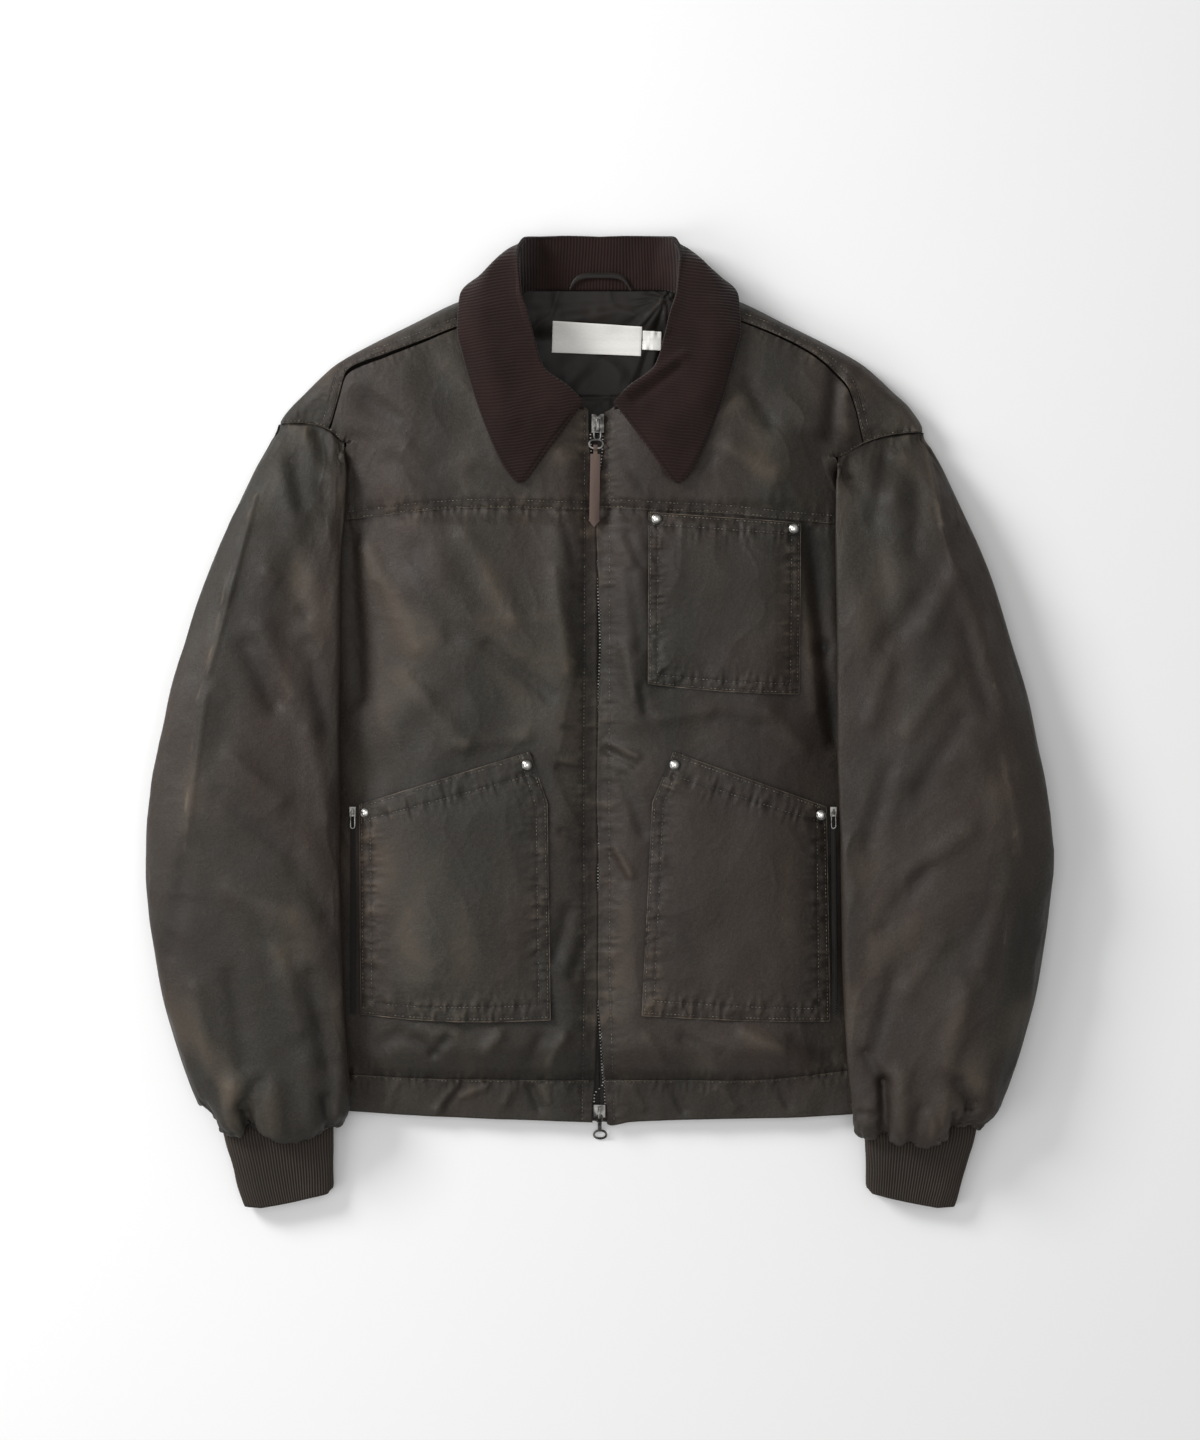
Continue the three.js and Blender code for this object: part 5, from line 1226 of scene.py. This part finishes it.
class JACKET_OT_back(bpy.types.Operator):
    """Back, back yoke and the hem band's back"""

    bl_idname = "jacket.back"
    bl_label = "Back"

    def execute(self, context):
        mats = FRAME["materials"]
        points = back_grid(lambda x: ARMHOLE(x) - 0.3, lambda x: 0 * x - 296.7, density(110), density(120))
        swell = crumple(points[..., 0], points[..., 1], 130) * smooth((points[..., 2] - 0.5) / 3)
        points[..., 2] = np.maximum(points[..., 2] + 0.4 * swell, 0.02)
        tone = tone_of(points[..., 0], points[..., 1])
        cloth("back_cloth", points, mats["cloth"], "back_panel", (500, 530), tints={"tone": tone})
        points = back_grid(lambda x: 0 * x - 297.0, HEM_EDGE, density(110), density(14))
        cloth("hem_cloth_back", points, mats["cloth"], "hem_band_back", (485, 38), tints={"tone": 0.0})
        points, tone = yoke_grid(2 * density(170), density(100))
        cloth("back_yoke_cloth", points, mats["cloth"], "back_yoke", (600, 200), tints={"tone": tone})
        return {"FINISHED"}


class JACKET_OT_sleeves(bpy.types.Operator):
    """Sleeves and rib-knit cuffs, all round"""

    bl_idname = "jacket.sleeves"
    bl_label = "Sleeves and cuffs"

    def execute(self, context):
        mats = FRAME["materials"]
        for side, tag in ((-1, "r"), (1, "l")):
            points, tone = lined_tube(*sleeve_grid(side, density(200), density(230)))
            cloth(f"sleeve_cloth_{tag}", points, mats["cloth"], f"sleeve_{tag}", (400, 640),
                  wrap=True, flip=side < 0, tints={"tone": tone})
            points, groove = cuff_grid(side)
            cloth(f"cuff_knit_{tag}", points, mats["rib_knit"], f"cuff_{tag}", (260, 110),
                  wrap=True, flip=side < 0, tints={"groove": groove})
        return {"FINISHED"}


class JACKET_OT_neck(bpy.types.Operator):
    """Corduroy collar, satin neck lining, hanger loop and blank labels"""

    bl_idname = "jacket.neck"
    bl_label = "Collar and neck"

    def execute(self, context):
        mats = FRAME["materials"]
        ring, wale, stitch, outer = collar_grid(density(420), density(60))
        nu, nv = ring.shape[:2]
        j = np.arange(nv // 2 - 1)
        first = np.stack([j, j + 1, nv - 2 - j, nv - 1 - j], -1)
        ends = np.concatenate([first, (first + (nu - 1) * nv)[:, ::-1]])
        quads = np.concatenate([grid_quads(nu, nv, ring=True), ends])
        obj = mesh_from("collar_corduroy", ring, quads, mats["corduroy"], None, {"wale": wale * MM, "stitch": stitch})
        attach(obj, "jacket")
        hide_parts("collar")
        width = cloth_area(outer) / (100 * MM) * 1000
        x, y = np.meshgrid(np.linspace(-66, 66, density(90)), np.linspace(238, 355, density(90)), indexing="ij")
        base = nape(x, y) + WALL + 2.6
        fan = np.arctan2(x - 58, 350 - y)
        z = base + 1.6 * noise(fan * 9, np.hypot(x - 58, y - 350) / 60, 51) + 0.9 * creases(x, y, 53, 24) + 0.5 * noise(x / 9, y / 16, 57)
        seam = np.exp(-(((y - 267.7) / 1.3) ** 2))
        z = z - 1.0 * seam + 0.6 * np.exp(-(((y - 264) / 4) ** 2)) * noise(x / 4, 0 * x, 58)
        lining = np.stack([x * (1 - 0.0004 * (y - 238)), y, z], -1)
        cloth("lining_satin", lining, mats["satin"], "neck_lining", (132, 120))

        def lined(x, y):
            return np.interp(y, lining[0, :, 1], lining[..., 2].max(0)) + 0.35

        for name, node, corners, cut in (
            ("label_main", "main_label", [(-37.9, 330.2), (35.3, 325.6), (34.4, 302.4), (-38.8, 305.4)], (74, 25)),
            ("label_size", "size_label", [(36.6, 322.5), (51.4, 321.5), (51, 306.9), (36, 307.8)], (15, 15)),
        ):
            tl, tr, br, bl = (np.array(c, float) for c in corners)
            u, v = np.meshgrid(np.linspace(0, 1, 40), np.linspace(0, 1, 18), indexing="ij")
            p = mix(mix(bl, br, u[..., None]), mix(tl, tr, u[..., None]), v[..., None])
            z = lined(p[..., 0], p[..., 1]) + 0.5 * noise(u * 5, v * 2, 61) + 0.5 * np.sin(u * np.pi)
            points = rim(np.dstack([p, z[..., None]]), "abcd", 0.5)
            cloth(name, points, mats["label_satin"], node, cut)
        u, v = np.meshgrid(np.linspace(0, 1, 60), np.linspace(0, 1, 6), indexing="ij")
        arch = 1 - np.abs(2 * u - 1) ** 5
        x = mix(-24.4, 26.2, u)
        y = mix(358, 369.5, arch) - 4.6 * (1 - v) + 1
        z = 12.0 + 1.4 * arch + 0.5 * (1 - (2 * v - 1) ** 2)
        cloth("loop_satin", np.stack([x, y, z], -1), mats["satin"], "hanger_loop", (75, 10))
        return {"FINISHED"}


class JACKET_OT_pockets(bpy.types.Operator):
    """Patch pockets with puffed cloth, top hems and double edges"""

    bl_idname = "jacket.pockets"
    bl_label = "Pockets"

    def execute(self, context):
        mats = FRAME["materials"]
        for name, cut in (("chest_pocket", (126, 150)), ("pocket_r", (160, 226)), ("pocket_l", (160, 226))):
            u, v = np.meshgrid(np.linspace(0, 1, density(120)), np.linspace(0, 1, density(150)), indexing="ij")
            x, y, z = pocket_point(name, u, v)
            relief, tone = pocket_relief(name, x, y)
            points = rim(np.stack([x, y, z + relief], -1), "abcd", 2.8)
            tone = np.pad(tone + tone_of(x, y), 2, constant_values=0.8)
            cloth(name + "_cloth", points, mats["cloth"], name, cut, tints={"tone": tone})
        return {"FINISHED"}


class JACKET_OT_stitching(bpy.types.Operator):
    """Topstitching along every seam that shows"""

    bl_idname = "jacket.stitching"
    bl_label = "Stitching"

    def execute(self, context):
        thread = FRAME["materials"]["thread"]
        lines = [
            line(lambda x: YOKE_SEAM(x) + 1.6, -206, -5), line(lambda x: YOKE_SEAM(x) + 6.8, -206, -5),
            line(lambda x: YOKE_SEAM(x) + 1.6, 3, 192), line(lambda x: YOKE_SEAM(x) + 6.8, 3, 192),
            shoulder_line(-1, 1.6), shoulder_line(-1, 6.6), shoulder_line(1, 1.6), shoulder_line(1, 6.6),
            line(lambda x: HEM_SEAM(x) - 1.6, -204, -8), line(lambda x: HEM_SEAM(x) - 1.6, 7, 203),
            [(-12, 250), (-12, 90), (-12.6, -60), (-12, -210), (-14, -331)],
            [(8.2, 250), (8.6, 90), (8.2, -60), (8.8, -210), (12.5, -333)],
            line(lambda x: ARMHOLE(x) + 1.8, -260, -212), line(lambda x: ARMHOLE(x) + 1.8, 200, 264),
        ]
        parts = [stitches(lines, front_z)]
        for name in POCKETS:
            parts.append(stitches(pocket_lines(name), pocket_height(name)))
        count, points, quads = 0, [], []
        for p, q in parts:
            points.append(p)
            quads.append(q + count)
            count += len(p)
        obj = mesh_from("topstitching", np.concatenate(points), np.concatenate(quads), thread)
        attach(obj, "jacket")
        return {"FINISHED"}


def ribbon(points, height, width, high):
    """Narrow rounded strip along a line on a surface z = height(x, y): three columns of points."""
    at, way = along_line(points, 1.5)
    across = np.stack([-way[:, 1], way[:, 0]], -1)
    z = height(at[:, 0], at[:, 1])
    columns = [np.column_stack([at + o * width * across, z + h]) for o, h in ((-0.5, -0.25), (0, high), (0.5, -0.25))]
    return np.stack(columns, 0)


class JACKET_OT_edges(bpy.types.Operator):
    """Turned cloth edges that stand proud of the seams and of the pockets' outlines"""

    bl_idname = "jacket.edges"
    bl_label = "Seam edges"

    def execute(self, context):
        runs = [
            (line(lambda x: YOKE_SEAM(x) + 0.7, -208, -5), front_z), (line(lambda x: YOKE_SEAM(x) + 0.7, 3, 194), front_z),
            (shoulder_line(-1, 0.7), front_z), (shoulder_line(1, 0.7), front_z),
            (line(lambda x: HEM_SEAM(x) - 0.7, -205, -8), front_z), (line(lambda x: HEM_SEAM(x) - 0.7, 7, 204), front_z),
            (line(lambda x: ARMHOLE(x) + 0.8, -262, -210), front_z), (line(lambda x: ARMHOLE(x) + 0.8, 198, 266), front_z),
        ]
        runs += [(pocket_outline(name), pocket_height(name)) for name in POCKETS]
        points, quads, tones, count = [], [], [], 0
        for k, (path, height) in enumerate(runs):
            strip = ribbon(path, height, 1.0, 0.35)
            tone = 0.45 + 0.45 * noise(np.arange(strip.shape[1]) / 8, 0, 400 + k)
            points.append(strip.reshape(-1, 3))
            quads.append(grid_quads(3, strip.shape[1]) + count)
            tones.append(np.tile(tone, 3))
            count += strip.shape[0] * strip.shape[1]
        mat = FRAME["materials"]["cloth"]
        obj = mesh_from("seam_edges", np.concatenate(points), np.concatenate(quads), mat, None, {"tone": np.concatenate(tones)})
        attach(obj, "jacket")
        return {"FINISHED"}


class JACKET_OT_zips(bpy.types.Operator):
    """Front zip's teeth, tapes and underlap, and the pockets' side zips"""

    bl_idname = "jacket.zips"
    bl_label = "Zips"

    def execute(self, context):
        mats = FRAME["materials"]
        y = np.arange(-317, 236, 2.7)
        centres = []
        for side in (-1, 1):
            yy = y + 0.675 * (1 - side)
            split = np.maximum(smooth((-300 - yy) / 10), smooth((yy - 205) / 12))
            apart = mix(0.75, 0.8 * ZIP_GAP(yy, 2), split)
            middle = ZIP_GAP(yy, 1) + np.maximum(0, ZIP_GAP(yy, 2) - 0.75) * (1 - split)
            centres.append(np.stack([middle + side * apart, yy, zip_top(yy) - 1.6 - 1.2 * (side < 0)], -1))
        centres = np.concatenate(centres)
        ways = np.tile([1.0, 0, 0], (len(centres), 1))
        points, quads = boxes(centres, ways, (1.7, 1.3, 1.3))
        obj = mesh_from("zip_teeth", points, quads, mats["gunmetal"], flat=True)
        bevel = obj.modifiers.new("soft", "BEVEL")
        bevel.width, bevel.segments = 0.25 * MM, 1
        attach(obj, "jacket")
        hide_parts("zip_chain")
        y = np.linspace(-322, 251, density(200))
        for side, tag in ((-1, "r"), (1, "l")):
            u, yy = np.meshgrid(np.linspace(0, 1, 6), y, indexing="ij")
            x = ZIP_GAP(yy, 1) + side * (0.6 + u * 12)
            z = zip_top(yy) - 3.4
            cloth(f"tape_{tag}", np.stack([x, yy, z], -1), mats["zip_tape"], f"zip_tape_{tag}", (12, 575), flip=side < 0)
        u, yy = np.meshgrid(np.linspace(0, 1, 8), y, indexing="ij")
        x = ZIP_X + (u - 0.42) * 34
        cloth("underlap", np.stack([x, yy, zip_top(yy) - 5 + 0.5 * noise(x / 8, yy / 20, 95)], -1), mats["satin"], "zip_guard", (34, 575))
        for side, tag in ((-1, "r"), (1, "l")):
            yy = np.linspace(-242, -73, 160)
            mid = np.full(160, -202.8) if side < 0 else mix(193, 191.6, (yy + 243) / 171) + 1.2
            u = np.linspace(-1, 1, 7)[:, None]
            x = mid[None] + 2.2 * u
            z = top(x, yy[None] + 0 * x) + 2.3
            cloth(f"side_tape_{tag}", np.stack([x, yy[None] + 0 * x, z], -1), mats["zip_tape"], f"side_zip_{tag}", (10, 172))
            ty = np.arange(-241, -82, 2.2)
            tm = np.interp(ty, yy, mid)
            centres = np.concatenate([np.stack([tm + s * 0.75, ty + 0.55 * s, top(tm, ty) + 2.9], -1) for s in (-1, 1)])
            points, quads = boxes(centres, np.tile([1.0, 0, 0], (len(centres), 1)), (1.9, 1.0, 0.9))
            obj = mesh_from(f"side_teeth_{tag}", points, quads, mats["zip_tape"], flat=True)
            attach(obj, "jacket")
        return {"FINISHED"}


HARDWARE = {
    "slider_top": ("jacket", 0.35), "pull_top": ("pull_top", 0.3), "slider_hem": ("jacket", 0.35), "pull_hem": ("pull_hem", 0.25),
    "side_slider_l": ("jacket", 0.25), "side_slider_r": ("jacket", 0.25),
    "side_pull_l": ("pull_side_l", 0.18), "side_pull_r": ("pull_side_r", 0.18),
    "strap_top": ("strap_top", 0.5),
}


# Rivets: pocket, place across, place up.
RIVETS = {
    "rivet_chest_a": ("chest_pocket", 0.05, 0.965), "rivet_chest_b": ("chest_pocket", 0.955, 0.965),
    "rivet_r_a": ("pocket_r", 0.965, 0.96), "rivet_r_b": ("pocket_r", 0.035, 0.955),
    "rivet_l_a": ("pocket_l", 0.035, 0.96), "rivet_l_b": ("pocket_l", 0.965, 0.955),
}
# Half section of a rivet's cap: distance from its axis, height.
CAP = np.array([
    [0.01, 2.3], [0.8, 2.26], [1.6, 2.1], [2.3, 1.82], [2.8, 1.45], [3.1, 1.0], [3.25, 0.7], [3.7, 0.6], [4.1, 0.5], [4.3, 0.2], [4.3, -0.6],
])


def cap(name, material):
    """Turned cap of a rivet, seated on its pocket's cloth."""
    pocket, u, v = RIVETS[name]
    x, y, z = (float(c) for c in pocket_point(pocket, np.array(u), np.array(v)))
    turn = np.linspace(0, 2 * np.pi, 40, endpoint=False)[:, None]
    r, h = CAP[None, :, 0], CAP[None, :, 1]
    points = np.stack([x + r * np.cos(turn), y + r * np.sin(turn), z + 0.5 + h + 0 * turn], -1)
    shine = np.broadcast_to(smooth((3.4 - r) / 0.3), points.shape[:2])
    return mesh_from(name + "_cap", points, grid_quads(40, len(CAP), wrap=True), material, None, {"bright": shine})


class JACKET_OT_hardware(bpy.types.Operator):
    """Sliders, pulls, rivets and the strap: the CAD forms with rounded edges"""

    bl_idname = "jacket.hardware"
    bl_label = "Hardware"

    def execute(self, context):
        mats = FRAME["materials"]
        for node, (body, width) in HARDWARE.items():
            mat = mats["leather"] if node == "strap_top" else mats["gunmetal"]
            mesh = FRAME["nodes"][node].data.copy()
            mesh.name = node + "_finish"
            mesh.materials.clear()
            obj = add_object(node + "_finish", mesh, mat)
            mesh.polygons.foreach_set("material_index", np.zeros(len(mesh.polygons), np.int32))
            weld = obj.modifiers.new("weld", "WELD")
            weld.merge_threshold = 0.00001
            bevel = obj.modifiers.new("soft", "BEVEL")
            bevel.width, bevel.segments, bevel.limit_method, bevel.angle_limit = width * MM, 2, "ANGLE", 0.6
            mesh.polygons.foreach_set("use_smooth", np.ones(len(mesh.polygons), bool))
            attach(obj, body)
            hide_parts(node)
        for name in RIVETS:
            obj = cap(name, mats["gunmetal"])
            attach(obj, "jacket")
            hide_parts(name)
        return {"FINISHED"}


class JACKET_OT_stage(bpy.types.Operator):
    """Pale floor, soft lights and the camera above"""

    bl_idname = "jacket.stage"
    bl_label = "Stage"

    def execute(self, context):
        scene = context.scene
        made, shader, _, _ = material("paper", None, Roughness=1.0, Base_Color=(0.93, 0.93, 0.93, 1), Specular_IOR_Level=0.0)
        corners = np.array([[-3000, -3000, -0.05], [3000, -3000, -0.05], [3000, 3000, -0.05], [-3000, 3000, -0.05]], float)
        floor = mesh_from("floor", corners, np.array([[0, 1, 2, 3]]), made)
        data = bpy.data.cameras.new("photo")
        data.sensor_fit, data.sensor_width = "HORIZONTAL", 36.0
        height = settings().camera_height
        data.lens = 36.0 * (height - 0.04) / 0.984
        data.clip_end = 50
        camera = bpy.data.objects.new("photo", data)
        camera.location = (0.0008, 0.0004, height)
        scene.collection.objects.link(camera)
        scene.camera = camera
        world = bpy.data.worlds.new("studio")
        world.use_nodes = True
        world.node_tree.nodes["Background"].inputs["Color"].default_value = (1, 1, 1, 1)
        world.node_tree.nodes["Background"].inputs["Strength"].default_value = 0.36
        scene.world = world
        scene.view_settings.view_transform = "Standard"
        energy = settings().key_energy
        for name, place, size, watts in (
            ("key", (-2.0, 1.3, 1.35), 0.9, energy), ("fill", (-1.9, -0.9, 1.9), 1.4, energy * 0.25), ("over", (0, 0, 3.6), 2.4, energy * 0.5),
        ):
            light = bpy.data.lights.new(name, "AREA")
            light.size, light.energy = size, watts
            lamp = bpy.data.objects.new(name, light)
            lamp.location = place
            lamp.rotation_euler = (-Vector(place)).to_track_quat("-Z", "Y").to_euler()
            scene.collection.objects.link(lamp)
        return {"FINISHED"}


STEPS = ("fronts", "back", "sleeves", "neck", "pockets", "stitching", "edges", "zips", "hardware", "stage")


class JACKET_PT_panel(bpy.types.Panel):
    """Buttons for the jacket's steps"""

    bl_label = "Jacket"
    bl_idname = "JACKET_PT_panel"
    bl_space_type = "VIEW_3D"
    bl_region_type = "UI"
    bl_category = "Jacket"

    def draw(self, context):
        for name in ("fineness", "camera_height", "key_energy"):
            self.layout.prop(context.scene.jacket, name)
        for step in STEPS:
            self.layout.operator("jacket." + step)


CLASSES = (
    JacketSettings, JACKET_OT_fronts, JACKET_OT_back, JACKET_OT_sleeves, JACKET_OT_neck, JACKET_OT_pockets,
    JACKET_OT_stitching, JACKET_OT_edges, JACKET_OT_zips, JACKET_OT_hardware, JACKET_OT_stage, JACKET_PT_panel,
)


def register():
    for c in CLASSES:
        bpy.utils.register_class(c)
    bpy.types.Scene.jacket = PointerProperty(type=JacketSettings)


def unregister():
    del bpy.types.Scene.jacket
    for c in reversed(CLASSES):
        bpy.utils.unregister_class(c)


def main():
    """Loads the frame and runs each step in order."""
    register()
    FRAME.update(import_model())
    FRAME["materials"] = make_materials()
    for step in STEPS:
        getattr(bpy.ops.jacket, step)()
    bpy.context.view_layer.update()


if __name__ == "__main__":
    main()
